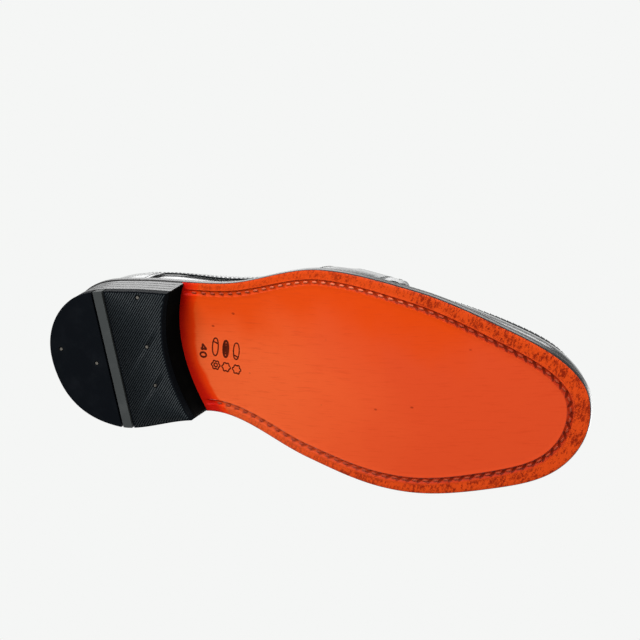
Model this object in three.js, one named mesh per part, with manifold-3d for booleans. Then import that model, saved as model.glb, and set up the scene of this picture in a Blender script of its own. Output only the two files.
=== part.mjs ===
// Penny loafer, right shoe, men's size 40. Millimetres, +Z up, toe towards +X, inner side towards +Y.
import * as THREE from 'three';
import { mergeVertices } from 'three/addons/utils/BufferGeometryUtils.js';
import Module from 'manifold-3d';

const wasm = await Module();
wasm.setup();

// ---- Driving dimensions -------------------------------------------------------------------------

const gap = 0.3;                    // clearance between neighbouring pieces
const soleLength = 283;             // heel back to toe tip, along X
const along = soleLength / 283;     // places along the shoe keep their share of its length
const lateralHalfWidths = [24, 33, 37.5, 54.5, 51.5, 38, 22.5];      // at seven stations, heel to toe
const medialHalfWidths = [27.5, 41.5, 31.5, 43, 50.5, 41.5, 26];
const lateralEndRadii = { heel: 33, toe: 34 };
const medialEndRadii = { heel: 31, toe: 36.5 };

const heelHeight = 24;              // ground to the underside of the outsole
const ballStart = 184 * along;      // the outsole touches the ground from here
const ballEnd = 200 * along;       // to here
const toeSpring = 6;                // rise of the outsole's toe tip

const breastX = 72.8 * along;      // heel front at its corners, before tilt
const breastConcavity = 7.3;
const breastTilt = 8.7;             // inner corner forward, outer corner back
const breastHalfWidth = 32;
const heelTaper = 0.6;              // inward lean of the heel sides down to the ground
const heelSeatInset = 0.6;

const topPieceThickness = 6;        // rubber at the ground
const barAngle = 16 * Math.PI / 180;
const barX = 35 * along;                    // bar centre on the heel's axis
const barWidth = 4.9;
const barGroove = 1;
const liftCount = 4;
const nailRadius = 0.8;
const nailHoleRadius = 1.15;
const nailLength = 4.6;
const nailSeats = [[49, -29.5], [55.2, -4.4], [27.8, 8.2], [60.7, 15.4], [7.6, 3.4]]
  .map(([x, y]) => [x * along, y]);

const outsoleThickness = 5;
const channelWidth = 3.2;           // stitch channel cut in the outsole's underside
const channelDepth = 1.3;
const channelInsets = [[0.3, 5.4], [0.45, 6], [0.62, 7.6], [0.8, 9], [1, 9.6], [1.2, 8], [1.38, 6.4],
  [1.55, 5.2], [1.75, 5]];
const soleThreadRadius = 0.45;

const weltThickness = 3;
const weltSetback = 0.5;            // welt edge inside the outsole edge
const weltExtensions = [[0, 3.8], [0.25, 4], [0.45, 5.5], [0.6, 6.5], [0.72, 5], [0.82, 4.2], [1, 4.6],
  [1.38, 4.6], [1.55, 4], [1.75, 3.6], [2, 3.8]];           // outsole edge to the upper's foot, round the shoe
const weltThreadRadius = 0.45;

const insoleThickness = 2.5;
const sockThickness = 1;
const heelPadThickness = 1.2;
const shankStart = 48 * along;
const shankEnd = 136 * along;
const shankHalfWidth = 6;
const shankThickness = 1.2;

const leather = 1.4;                // outer leather of the upper
const stiffener = 1;                // heel counter
const toePuff = 0.6;
const lining = 1;
const ridgeHeights = [[0, 110], [55, 113], [95, 112], [115, 105.5], [140, 90], [160, 77.5], [185, 66.5],
  [210, 59.5], [235, 55], [260, 51], [283, 45]].map(([x, z]) => [x * along, z]);
const toplineHeights = [[0, 86], [0.12, 84.5], [0.24, 77], [0.34, 68], [0.42, 64.5], [0.475, 70], [0.51, 76]];
const sectionPowers = [[0, 2], [0.3, 2], [0.5, 2.05], [0.62, 2.2], [0.76, 2.75], [1, 2.75]];   // squareness of the upper's section
const sideSwell = 0.03;
const spineHeel = 32 * along;      // the ridge line's ends, inside the heel and the toe
const spineToe = 50 * along;
const spineSoftness = 6;

const throatX = 147 * along;       // vamp and apron meet the quarters here, under the strap
const apronReach = [[0.5, 0.78], [0.66, 0.82], [0.82, 0.84], [1, 0.74]];   // seam, as a share of the half width
const apronSeamRadius = 1.15;
const strapRearX = 138 * along;
const strapFrontX = 180 * along;
const strapSweep = 8;               // the strap leans back towards the welt
const strapThickness = 1.6;
const strapLip = 0.9;               // the strap's front edge stands off the apron
const slotX = 157 * along;
const slotHalfLength = 22;
const slotHalfWidth = 3.2;
const tongueTipX = 112 * along;
const tongueRootX = 168 * along;
const tongueThickness = 1.5;
const tongueClearance = 1.1;         // from the linings down to the tongue's sides
const collarHeight = 12.5;
const collarThickness = 1;
const overlay = 0.4;                // from the upper to a strip laid on it
const collarEndX = strapRearX - 6;   // the collar stops just short of the strap
const heelStrapX = 38 * along;
const bindingRadius = 1.5;

// ---- Helpers: curves ----------------------------------------------------------------------------

const clamp = (value, low, high) => Math.min(high, Math.max(low, value));
const mix = (a, b, t) => a + (b - a) * t;
const smooth = (t) => t * t * (3 - 2 * t);

// A smooth curve through points [x, y], level at both ends and beyond them.
function through(points) {
  const slope = points.map((p, i) => {
    if (i === 0 || i === points.length - 1) return 0;
    const [before, after] = [points[i - 1], points[i + 1]];
    return (after[1] - before[1]) / (after[0] - before[0]);
  });
  const last = points.length - 1;
  return (x) => {
    const at = clamp(x, points[0][0], points[last][0]);
    let i = 0;
    while (i < last - 1 && at > points[i + 1][0]) i += 1;
    const width = points[i + 1][0] - points[i][0];
    const t = (at - points[i][0]) / width;
    const h1 = t * t * (3 - 2 * t);
    const rise = t * (1 - t) * ((1 - t) * slope[i] - t * slope[i + 1]) * width;
    return points[i][1] * (1 - h1) + points[i + 1][1] * h1 + rise;
  };
}

const ridge = through(ridgeHeights);
const topline = through(toplineHeights);
const channelInset = through(channelInsets);
const weltExtension = through(weltExtensions);
const sectionPower = through(sectionPowers);
const apronShare = through(apronReach);

// Underside of the outsole: level heel seat, shank, level tread and toe spring.
function soleBottom(x) {
  const seatEnd = breastX - breastTilt;
  if (x <= seatEnd) return heelHeight;
  if (x < ballStart) return heelHeight * (1 - smooth((x - seatEnd) / (ballStart - seatEnd)));
  if (x <= ballEnd) return 0;
  return toeSpring * ((x - ballEnd) / (soleLength - ballEnd)) ** 2;
}

const outsoleTop = (x) => soleBottom(x) + outsoleThickness;
const weltBottom = (x) => outsoleTop(x) + gap;
const weltTop = (x) => weltBottom(x) + weltThickness;
const upperFoot = (x) => weltTop(x) + gap + 0.2;

// ---- Helpers: outline ---------------------------------------------------------------------------
// q runs round the sole: 0 at the heel back, outer side to 1 at the toe tip, inner side to 2.

const stationX = (a) => soleLength * (1 - Math.cos(Math.PI * a)) / 2;
const stationOf = (x) => Math.acos(clamp(1 - 2 * x / soleLength, -1, 1)) / Math.PI;

function widthProfile(halfWidths, radii) {
  const count = halfWidths.length + 1;
  const inner = halfWidths.map((width, i) => width / Math.sin(Math.PI * (i + 1) / count));
  const knots = [Math.sqrt(radii.heel * soleLength / 2), ...inner, Math.sqrt(radii.toe * soleLength / 2)];
  return (a) => {
    const at = clamp(a, 0, 1) * count;
    const i = Math.min(Math.floor(at), count - 1);
    const t = at - i;
    const before = knots[i === 0 ? 1 : i - 1];
    const after = knots[i === count - 1 ? count - 1 : i + 2];
    const [start, end] = [knots[i], knots[i + 1]];
    const bend = (2 * before - 5 * start + 4 * end - after) * t * t;
    const twist = (3 * start - before - 3 * end + after) * t * t * t;
    return Math.sin(Math.PI * a) * (2 * start + (end - before) * t + bend + twist) / 2;
  };
}

const lateralWidth = widthProfile(lateralHalfWidths, lateralEndRadii);
const medialWidth = widthProfile(medialHalfWidths, medialEndRadii);
const wrap = (q) => ((q % 2) + 2) % 2;
const station = (q) => (wrap(q) <= 1 ? wrap(q) : 2 - wrap(q));

function outline(q) {
  const a = station(q);
  const y = wrap(q) <= 1 ? -lateralWidth(a) : medialWidth(a);
  return new THREE.Vector2(stationX(a), y);
}

function inset(q, distance) {
  const step = 1e-4;
  const along = outline(q + step).sub(outline(q - step)).normalize();
  return outline(q).add(new THREE.Vector2(-along.y, along.x).multiplyScalar(distance));
}

const midline = (x) => (medialWidth(stationOf(x)) - lateralWidth(stationOf(x))) / 2;
const breastLine = (y) => breastX - breastConcavity * (1 - (y / breastHalfWidth) ** 2)
  + breastTilt * y / breastHalfWidth;

// Where the heel's breast meets the outline, as a value of q on each side.
function breastStation(side) {
  let a = stationOf(breastX);
  for (let i = 0; i < 12; i += 1) {
    const y = side < 0 ? -lateralWidth(a) : medialWidth(a);
    a = mix(a, stationOf(breastLine(y)), 0.6);
  }
  return a;
}

const lateralBreast = breastStation(-1);
const medialBreast = 2 - breastStation(1);

// ---- Helpers: the last, which every piece of the upper is wrapped on ------------------------------
// theta is 0 at the upper's foot and a quarter turn at the ridge.

const ridgeTheta = Math.PI / 2;
const softStep = (x, start) => spineSoftness * Math.log(1 + Math.exp((x - start) / spineSoftness));

function spine(q) {
  const x = stationX(station(q));
  const low = spineHeel + softStep(x, spineHeel);
  const end = soleLength - spineToe;
  const at = end - softStep(end - low, 0);
  return new THREE.Vector2(at, midline(at));
}

function last(q, theta) {
  const power = sectionPower(station(q));
  const k = Math.sin(theta) ** (2 / power);
  const g = Math.max(0, Math.cos(theta)) ** (2 / power) * (1 + sideSwell * Math.sin(Math.PI * k));
  const foot = inset(q, weltExtension(wrap(q)));
  const centre = spine(q);
  const x = mix(centre.x, foot.x, g);
  const z = mix(upperFoot(x), ridge(x), k);
  return new THREE.Vector3(x, mix(centre.y, foot.y, g), z);
}

function lastNormal(q, theta) {
  if (theta >= ridgeTheta - 1e-6) {
    const x = spine(q).x;
    const slope = (ridge(x + 0.5) - ridge(x - 0.5));
    return new THREE.Vector3(-slope, 0, 1).normalize();
  }
  const step = 0.004;
  const at = clamp(theta, step, 1.48);
  const around = last(q + step, at).sub(last(q - step, at));
  const upward = last(q, at + step).sub(last(q, at - step));
  const normal = around.cross(upward).normalize();
  const blend = smooth(clamp((theta - 1.3) / (ridgeTheta - 1.3), 0, 1));
  return normal.lerp(lastNormal(q, ridgeTheta), blend).normalize();
}

const upper = (q, theta, offset) => last(q, theta).addScaledVector(lastNormal(q, theta), offset);

// The angle at which the last reaches a height, or a share of its half width.
function thetaAt(test) {
  let [low, high] = [0, ridgeTheta];
  for (let i = 0; i < 30; i += 1) {
    const middle = (low + high) / 2;
    if (test(middle)) high = middle;
    else low = middle;
  }
  return low;
}

const thetaAtHeight = (q, z) => thetaAt((theta) => last(q, theta).z > z);
const toplineTheta = (q, below = 0) => thetaAtHeight(q, topline(station(q)) - below);
const apronTheta = (q) => Math.acos(apronShare(station(q)) ** (sectionPower(station(q)) / 2));

// A step of the given length up the last, as an angle.
function climb(q, theta, distance) {
  const step = 0.01;
  const at = clamp(theta, step, ridgeTheta - step);
  return distance * 2 * step / last(q, at + step).distanceTo(last(q, at - step));
}

// Across the shoe at a station: -1 the outer foot, 0 the ridge, 1 the inner foot.
function across(x, phi, offset) {
  const a = stationOf(x);
  return upper(phi <= 0 ? a : 2 - a, ridgeTheta * (1 - Math.abs(phi)), offset);
}

// ---- Helpers: solids ----------------------------------------------------------------------------

function closedGeometry(points, triangles) {
  const raw = new THREE.BufferGeometry();
  raw.setAttribute('position', new THREE.Float32BufferAttribute(points.flatMap((p) => p.toArray()), 3));
  raw.setIndex(triangles.flat());
  const merged = mergeVertices(raw, 1e-3);
  const index = merged.getIndex().array;
  const kept = [];
  for (let i = 0; i < index.length; i += 3) {
    const [a, b, c] = [index[i], index[i + 1], index[i + 2]];
    if (a !== b && b !== c && c !== a) kept.push(a, b, c);
  }
  merged.setIndex(kept);
  return facingOut(merged);
}

function facingOut(geometry) {
  const position = geometry.getAttribute('position');
  const index = Array.from(geometry.getIndex().array);
  const [a, b, c] = [new THREE.Vector3(), new THREE.Vector3(), new THREE.Vector3()];
  let volume = 0;
  for (let i = 0; i < index.length; i += 3) {
    a.fromBufferAttribute(position, index[i]);
    b.fromBufferAttribute(position, index[i + 1]);
    c.fromBufferAttribute(position, index[i + 2]);
    volume += a.dot(b.cross(c));
  }
  if (volume < 0) {
    for (let i = 0; i < index.length; i += 3) [index[i], index[i + 1]] = [index[i + 1], index[i]];
    geometry.setIndex(index);
  }
  return geometry;
}

// A solid between two grids of points, closed along its four borders. A border whose two halves meet
// each other, as at a spine, stays open here and closes when its vertices are merged.
function patch(columns, rows, front, back, meeting = {}) {
  const points = [];
  const triangles = [];
  const at = (layer, i, j) => layer * (columns + 1) * (rows + 1) + i * (rows + 1) + j;
  for (const side of [front, back]) {
    for (let i = 0; i <= columns; i += 1) {
      for (let j = 0; j <= rows; j += 1) points.push(side(i / columns, j / rows));
    }
  }
  const quad = (a, b, c, d) => triangles.push([a, b, c], [a, c, d]);
  for (let i = 0; i < columns; i += 1) {
    for (let j = 0; j < rows; j += 1) {
      quad(at(0, i, j), at(0, i + 1, j), at(0, i + 1, j + 1), at(0, i, j + 1));
      quad(at(1, i, j), at(1, i, j + 1), at(1, i + 1, j + 1), at(1, i + 1, j));
    }
    quad(at(0, i + 1, 0), at(0, i, 0), at(1, i, 0), at(1, i + 1, 0));
    if (!meeting.end) quad(at(0, i, rows), at(0, i + 1, rows), at(1, i + 1, rows), at(1, i, rows));
  }
  for (let j = 0; j < rows; j += 1) {
    quad(at(0, 0, j), at(0, 0, j + 1), at(1, 0, j + 1), at(1, 0, j));
    quad(at(0, columns, j + 1), at(0, columns, j), at(1, columns, j), at(1, columns, j + 1));
  }
  return closedGeometry(points, triangles);
}

// A solid whose cross-section is carried along a path.
function sweep(sections) {
  const sides = sections[0].length;
  const points = sections.flat();
  const triangles = [];
  for (let i = 0; i < sections.length - 1; i += 1) {
    for (let j = 0; j < sides; j += 1) {
      const [a, b] = [i * sides + j, i * sides + (j + 1) % sides];
      triangles.push([a, b, b + sides], [a, b + sides, a + sides]);
    }
  }
  const end = (sections.length - 1) * sides;
  for (let j = 1; j < sides - 1; j += 1) {
    triangles.push([0, j + 1, j], [end, end + j, end + j + 1]);
  }
  return closedGeometry(points, triangles);
}

const spread = (from, to, count) => Array.from({ length: count + 1 }, (_, i) => mix(from, to, i / count));

function roundSection(centre, normal, sideways, radius, height = radius, sides = 6) {
  return spread(0, 2 * Math.PI, sides).slice(0, sides).map((turn) => centre.clone()
    .addScaledVector(normal, height * Math.sin(turn))
    .addScaledVector(sideways, radius * Math.cos(turn)));
}

function solid(geometry) {
  const bare = new THREE.BufferGeometry();
  bare.setAttribute('position', geometry.getAttribute('position').clone());
  if (geometry.getIndex()) bare.setIndex(geometry.getIndex().clone());
  const merged = mergeVertices(bare, 1e-3);
  const vertProperties = new Float32Array(merged.getAttribute('position').array);
  const triVerts = new Uint32Array(merged.getIndex().array);
  return new wasm.Manifold(new wasm.Mesh({ numProp: 3, vertProperties, triVerts }));
}

function shell(body) {
  const mesh = body.getMesh();
  const geometry = new THREE.BufferGeometry();
  geometry.setAttribute('position', new THREE.Float32BufferAttribute(mesh.vertProperties, 3));
  geometry.setIndex(Array.from(mesh.triVerts));
  return geometry;
}

// A sheet that follows the sole between two stations, inset from the outline all round.
function slab(distance, bottom, top, { from = 0, to = 1, columns = 36, rows = 6 } = {}) {
  const point = (u, v, height) => {
    const a = mix(from, to, u);
    const edge = inset(a, distance(a)).lerp(inset(2 - a, distance(2 - a)), v);
    return new THREE.Vector3(edge.x, edge.y, height(edge.x));
  };
  return patch(columns, rows, (u, v) => point(u, v, top), (u, v) => point(u, v, bottom));
}

// ---- Materials ----------------------------------------------------------------------------------

const material = (color, roughness, metalness = 0) => new THREE.MeshStandardMaterial({
  color, roughness, metalness });
const blackLeather = () => material(0x14171a, 0.18);
const edgeLeather = () => material(0x101010, 0.45);
const redLeather = () => material(0xd64a1e, 0.5);
const liningLeather = () => material(0x1b1a19, 0.6);
const rubber = () => material(0x17181b, 0.7);
const greyRubber = () => material(0x3a3d40, 0.6);
const cork = () => material(0x9a6a3c, 0.9);
const board = () => material(0x8a7356, 0.9);
const steel = () => material(0x8d9094, 0.35, 1);
const brass = () => material(0xa98c4e, 0.35, 1);
const darkThread = () => material(0x0b0b0c, 0.6);
const brownThread = () => material(0x7a3a1c, 0.7);

const shoe = new THREE.Group();

function add(name, geometry, look) {
  const mesh = new THREE.Mesh(geometry, look);
  mesh.name = name;
  shoe.add(mesh);
}

// ---- Heel ---------------------------------------------------------------------------------------

// The heel's plan at a height, as a flat outline from the outer breast corner round the back.
function heelPlan(z) {
  const lean = heelSeatInset + heelTaper * (1 - z / heelHeight);
  const shape = new THREE.Shape();
  const back = spread(lateralBreast, medialBreast - 2, 34).map((q) => inset(q, lean));
  const [outer, inner] = [back[0], back[back.length - 1]];
  back.forEach((p, i) => (i === 0 ? shape.moveTo(p.x, p.y) : shape.lineTo(p.x, p.y)));
  spread(inner.y, outer.y, 12).slice(1, 12).forEach((y) => shape.lineTo(breastLine(y), y));
  shape.closePath();
  return shape;
}

function heelSlice(bottom, top) {
  const geometry = new THREE.ExtrudeGeometry(heelPlan(bottom), { depth: top - bottom, bevelEnabled: false });
  return solid(geometry.translate(0, 0, bottom));
}

// A block across the heel, measured along the axis square to the bar.
function barBlock(from, to) {
  const tall = 60;
  const geometry = new THREE.BoxGeometry(to - from, 4 * tall, tall);
  geometry.translate((from + to) / 2, 0, 0).rotateZ(-barAngle).translate(barX, 0, 0);
  return solid(geometry);
}

function addHeel() {
  let topPiece = heelSlice(0, topPieceThickness);
  nailSeats.forEach(([x, y]) => {
    const hole = new THREE.CylinderGeometry(nailHoleRadius, nailHoleRadius, 4 * topPieceThickness, 12);
    topPiece = topPiece.subtract(solid(hole.rotateX(Math.PI / 2).translate(x, y, 0)));
  });
  const [half, far] = [barWidth / 2, 2 * soleLength];
  add('heel_top_rear', shell(topPiece.intersect(barBlock(-far, -half - barGroove))), rubber());
  add('heel_top_bar', shell(topPiece.intersect(barBlock(-half, half))), greyRubber());
  add('heel_top_front', shell(topPiece.intersect(barBlock(half + barGroove, far))), rubber());
  nailSeats.forEach(([x, y], i) => {
    const nail = new THREE.CylinderGeometry(nailRadius, nailRadius, nailLength, 10);
    add(`heel_nail_${i + 1}`, nail.rotateX(Math.PI / 2).translate(x, y, nailLength / 2 + gap), brass());
  });

  const whole = { columns: 40, rows: 4 };
  const above = solid(slab(() => -4, (x) => soleBottom(x) - gap, () => 2 * heelHeight, whole));
  const pitch = (heelHeight - topPieceThickness) / liftCount;
  for (let i = 0; i < liftCount; i += 1) {
    const bottom = topPieceThickness + gap + i * pitch;
    add(`heel_lift_${i + 1}`, shell(heelSlice(bottom, bottom + pitch - gap).subtract(above)), edgeLeather());
  }
}

// ---- Sole ---------------------------------------------------------------------------------------

function ring(from, to, steps, outer, inner, bottom, top) {
  return sweep(spread(from, to, steps).map((q) => {
    const [out, into] = [inset(q, outer(q)), inset(q, inner(q))];
    return [
      new THREE.Vector3(out.x, out.y, bottom(out.x)),
      new THREE.Vector3(out.x, out.y, top(out.x)),
      new THREE.Vector3(into.x, into.y, top(into.x)),
      new THREE.Vector3(into.x, into.y, bottom(into.x)),
    ];
  }));
}

function thread(from, to, steps, distance, height, radius) {
  const up = new THREE.Vector3(0, 0, 1);
  return sweep(spread(from, to, steps).map((q) => {
    const [at, next] = [inset(q, distance(q)), inset(q, distance(q) + 1)];
    const sideways = new THREE.Vector3(next.x - at.x, next.y - at.y, 0).normalize();
    return roundSection(new THREE.Vector3(at.x, at.y, height(at.x)), up, sideways, radius, radius, 5);
  }));
}

const upperStack = leather + stiffener + lining + 2 * gap;      // everything between skin and foot
const innerInset = (q) => weltExtension(wrap(q)) + upperStack + gap;
const weltInner = (q) => innerInset(q) + 1;
const jointGap = 0.0015;                                        // a butt gap, as a step of q

function addSole() {
  const body = slab(() => 0, soleBottom, outsoleTop, { columns: 44, rows: 6 });
  const [start, end] = [lateralBreast + 0.012, medialBreast - 0.012];
  const half = channelWidth / 2;
  const cutter = ring(start, end, 72, (q) => channelInset(q) - half, (q) => channelInset(q) + half,
    (x) => soleBottom(x) - 2, (x) => soleBottom(x) + channelDepth);
  add('outsole', shell(solid(body).subtract(solid(cutter))), redLeather());
  add('outsole_stitch', thread(start + 0.004, end - 0.004, 72, channelInset,
    (x) => soleBottom(x) + channelDepth - gap - soleThreadRadius, soleThreadRadius), brownThread());

  const edge = () => weltSetback;
  add('welt', ring(lateralBreast, medialBreast, 56, edge, weltInner, weltBottom, weltTop), edgeLeather());
  add('heel_rand', ring(medialBreast - 2 + jointGap, lateralBreast - jointGap, 26, edge, weltInner,
    weltBottom, weltTop), edgeLeather());
  add('welt_stitch', thread(lateralBreast + 0.02, medialBreast - 0.02, 72,
    (q) => weltSetback + weltExtension(wrap(q)) * 0.42,
    (x) => weltTop(x) + gap + weltThreadRadius, weltThreadRadius), darkThread());

  const fillerInset = (q) => weltInner(q) + 3 * gap;
  const filler = slab(fillerInset, weltBottom, weltTop, { columns: 36, rows: 4 });
  const strip = (margin, bottom, top) => {
    const point = (u, v, height) => {
      const x = mix(shankStart - margin, shankEnd + margin, u);
      const y = midline(x) + mix(-shankHalfWidth - margin, shankHalfWidth + margin, v);
      return new THREE.Vector3(x, y, height(x));
    };
    return patch(16, 1, (u, v) => point(u, v, top), (u, v) => point(u, v, bottom));
  };
  const pocketFloor = (x) => weltTop(x) - shankThickness - 2 * gap;
  const pocket = strip(gap, pocketFloor, (x) => weltTop(x) + 3);
  add('cork_filler', shell(solid(filler).subtract(solid(pocket))), cork());
  add('shank', strip(0, (x) => pocketFloor(x) + gap, (x) => weltTop(x) - gap), steel());

  const insoleBottom = (x) => weltTop(x) + gap;
  const insoleTop = (x) => insoleBottom(x) + insoleThickness;
  const sockTop = (x) => insoleTop(x) + gap + sockThickness;
  const inside = (q) => innerInset(q) + gap;
  const inner = { columns: 36, rows: 4 };
  add('insole', slab(inside, insoleBottom, insoleTop, inner), board());
  add('sock_lining', slab((q) => inside(q) + 0.6, (x) => insoleTop(x) + gap, sockTop, inner), liningLeather());
  add('heel_pad', slab((q) => inside(q) + 2.5, (x) => sockTop(x) + gap,
    (x) => sockTop(x) + gap + heelPadThickness, { to: stationOf(78), columns: 14, rows: 4 }), liningLeather());
}

// ---- Upper --------------------------------------------------------------------------------------

// A layer of the upper, between two offsets from the last, over a range of q and of theta.
function layer(from, to, columns, rows, thetaLow, thetaHigh, outside, inside, meeting) {
  const point = (u, v, offset) => {
    const q = mix(from, to, u);
    return upper(q, mix(thetaLow(q), thetaHigh(q), v), offset);
  };
  return patch(columns, rows, (u, v) => point(u, v, outside), (u, v) => point(u, v, inside), meeting);
}

const foot = () => 0;
const throat = stationOf(throatX);
const stiffenerOutside = -leather - gap;
const liningOutside = stiffenerOutside - stiffener - gap;

function addUpper() {
  const apronGap = (q) => climb(q, apronTheta(q), gap);
  add('vamp', layer(throat, 2 - throat, 46, 6, foot, (q) => apronTheta(q) - apronGap(q), 0, -leather),
    blackLeather());
  add('apron', layer(throat, 2 - throat, 46, 5, (q) => apronTheta(q) + apronGap(q), () => ridgeTheta,
    0, -leather, { end: true }), blackLeather());
  const seam = spread(throat + 0.01, 2 - throat - 0.01, 56).map((q) => {
    const theta = apronTheta(q);
    const normal = lastNormal(q, theta);
    const along = last(q + 0.002, theta).sub(last(q - 0.002, theta)).normalize();
    const centre = upper(q, theta, apronSeamRadius + 0.15);
    return roundSection(centre, normal, along.cross(normal), apronSeamRadius);
  });
  add('apron_seam', sweep(seam), blackLeather());
  add('toe_puff', layer(stationOf(236), 2 - stationOf(236), 20, 5, () => 0.03, () => 1.12,
    stiffenerOutside, stiffenerOutside - toePuff), board());
  add('vamp_lining', layer(throat, 2 - throat, 36, 7, foot, () => ridgeTheta,
    liningOutside, liningOutside - lining, { end: true }), liningLeather());

  const joint = throat - 0.002;
  const backSeam = 0.0025;
  const quarterTop = (q) => toplineTheta(q);
  add('quarter_lateral', layer(backSeam, joint, 22, 6, foot, quarterTop, 0, -leather), blackLeather());
  add('quarter_medial', layer(-joint, -backSeam, 22, 6, foot, quarterTop, 0, -leather), blackLeather());
  add('heel_counter', layer(-stationOf(70), stationOf(70), 20, 4, () => 0.03, (q) => toplineTheta(q, 16),
    stiffenerOutside, stiffenerOutside - stiffener), board());
  add('quarter_lining', layer(-joint, joint, 46, 6, foot, quarterTop, liningOutside, liningOutside - lining),
    liningLeather());

  const strapFoot = (q) => climb(q, 0.05, 1);
  const heelStrap = stationOf(heelStrapX);
  add('heel_strap', layer(-heelStrap, heelStrap, 22, 6, strapFoot,
    (q) => toplineTheta(q, collarHeight + 0.8), overlay + collarThickness, overlay), blackLeather());
  const collarEnd = stationOf(collarEndX);
  add('collar_strip', layer(-collarEnd, collarEnd, 48, 2, (q) => toplineTheta(q, collarHeight),
    (q) => toplineTheta(q, 1.2), overlay + collarThickness, overlay), blackLeather());
  const bindingEnd = stationOf(collarEndX + 3);
  const depth = (leather + stiffener + lining + 2 * gap) / 2;
  const binding = spread(-bindingEnd, bindingEnd, 52).map((q) => {
    const theta = toplineTheta(q) + climb(q, toplineTheta(q), bindingRadius + gap);
    const normal = lastNormal(q, theta);
    const along = upper(q + 0.003, theta, -depth).sub(upper(q - 0.003, theta, -depth)).normalize();
    return roundSection(upper(q, theta, -depth), normal, along.cross(normal), bindingRadius, depth + 0.3, 8);
  });
  add('topline_binding', sweep(binding), blackLeather());
}

// ---- Tongue and strap ---------------------------------------------------------------------------

const tongueHalf = through([[tongueTipX, 0.47], [tongueTipX + 18, 0.5], [throatX, 0.46], [tongueRootX, 0.4]]);
const crownHalf = through([[tongueTipX + 16, 0.62], [strapRearX, 0.36], [throatX, 0.12]]);
const crownRise = through([[tongueTipX, 3.2], [strapRearX - 6, 3], [throatX - 6, 0.4], [throatX, 0]]);

function tonguePoint(u, v, depth) {
  const phi = mix(-1, 1, v);
  const tip = tongueTipX + 7 * phi ** 6;
  const x = mix(tip, tongueRootX, u);
  const across01 = phi * tongueHalf(x);
  const crown = Math.max(0, 1 - (across01 / crownHalf(x)) ** 2);
  const base = liningOutside - lining - tongueClearance;
  return across(x, across01, base + crownRise(x) * crown - depth);
}

function addTongueAndStrap() {
  add('tongue', patch(12, 14, (u, v) => tonguePoint(u, v, 0), (u, v) => tonguePoint(u, v, tongueThickness)),
    blackLeather());
  const below = tongueThickness + 2 * gap;
  add('tongue_lining', patch(10, 10, (u, v) => tonguePoint(mix(0.03, 0.97, u), mix(0.03, 0.97, v), below),
    (u, v) => tonguePoint(mix(0.03, 0.97, u), mix(0.03, 0.97, v), below + lining)), liningLeather());

  const strapPoint = (u, v, offset) => {
    const phi = mix(-0.965, 0.965, v);
    const lean = strapSweep * Math.abs(phi) ** 1.5;
    const x = mix(strapRearX, strapFrontX, u) - lean;
    const seamPhi = 1 - apronTheta(stationOf(x)) / ridgeTheta;
    const overSeam = Math.exp(-(((Math.abs(phi) - seamPhi) / 0.1) ** 2));
    const bridge = (2 * apronSeamRadius + gap) * overSeam * smooth(clamp((x - throatX + 4) / 6, 0, 1));
    const lip = strapLip * smooth(clamp((u - 0.8) / 0.2, 0, 1));
    return across(x, phi, offset + Math.max(bridge, lip));
  };
  const strap = patch(8, 34, (u, v) => strapPoint(u, v, overlay + strapThickness),
    (u, v) => strapPoint(u, v, overlay));
  const lens = new THREE.Shape();
  const middle = midline(slotX);
  spread(-1, 1, 14).forEach((t, i) => {
    const place = [slotX - slotHalfWidth * (1 - t * t), middle + slotHalfLength * t];
    if (i === 0) lens.moveTo(...place);
    else lens.lineTo(...place);
  });
  spread(1, -1, 14).slice(1, 14).forEach((t) => {
    lens.lineTo(slotX + slotHalfWidth * (1 - t * t), middle + slotHalfLength * t);
  });
  lens.closePath();
  const cutter = new THREE.ExtrudeGeometry(lens, { depth: 200, bevelEnabled: false });
  add('saddle_strap', shell(solid(strap).subtract(solid(cutter))), blackLeather());
}

addHeel();
addSole();
addUpper();
addTongueAndStrap();

const widest = (width) => Math.max(...spread(0, 1, 400).map(width));
shoe.position.set(-soleLength / 2, (widest(lateralWidth) - widest(medialWidth)) / 2, 0);

export default shoe;
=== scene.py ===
"""Looks of a black penny loafer with an orange leather sole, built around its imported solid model."""
import logging
import math
from dataclasses import dataclass
from enum import Enum
from typing import Callable, Iterable, Sequence

import bmesh
import bpy
import numpy as np
from mathutils import Matrix, Vector


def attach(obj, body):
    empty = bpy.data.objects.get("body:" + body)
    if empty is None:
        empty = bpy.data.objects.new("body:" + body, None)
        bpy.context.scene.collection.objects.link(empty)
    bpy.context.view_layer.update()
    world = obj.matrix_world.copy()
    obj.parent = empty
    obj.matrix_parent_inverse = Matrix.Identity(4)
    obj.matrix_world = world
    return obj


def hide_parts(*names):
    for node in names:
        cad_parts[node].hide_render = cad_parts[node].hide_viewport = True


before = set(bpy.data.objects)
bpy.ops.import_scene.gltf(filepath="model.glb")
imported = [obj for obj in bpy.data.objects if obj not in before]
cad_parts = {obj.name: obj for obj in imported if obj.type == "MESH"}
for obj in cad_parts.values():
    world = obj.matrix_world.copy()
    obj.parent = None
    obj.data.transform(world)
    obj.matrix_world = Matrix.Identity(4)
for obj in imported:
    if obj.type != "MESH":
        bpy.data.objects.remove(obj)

LOG = logging.getLogger("loafer")
MM = 0.001
Array = np.ndarray
Colour = tuple[float, float, float]
Skin = tuple[Array, list[list[int]]]


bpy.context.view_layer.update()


# ---- Curves and the shoe's own shape ---------------------------------------------------------------


def smooth(t: Array | float) -> Array:
    """A step from 0 to 1 that starts and ends level, held outside that range."""
    t = np.clip(t, 0.0, 1.0)
    return t * t * (3 - 2 * t)


def mix(a: Array | float, b: Array | float, t: Array | float) -> Array:
    """The value a share t of the way from a to b."""
    return a + (b - a) * t


def unit(vectors: Array) -> Array:
    """Vectors brought to length 1."""
    return vectors / np.linalg.norm(vectors, axis=-1, keepdims=True)


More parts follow.
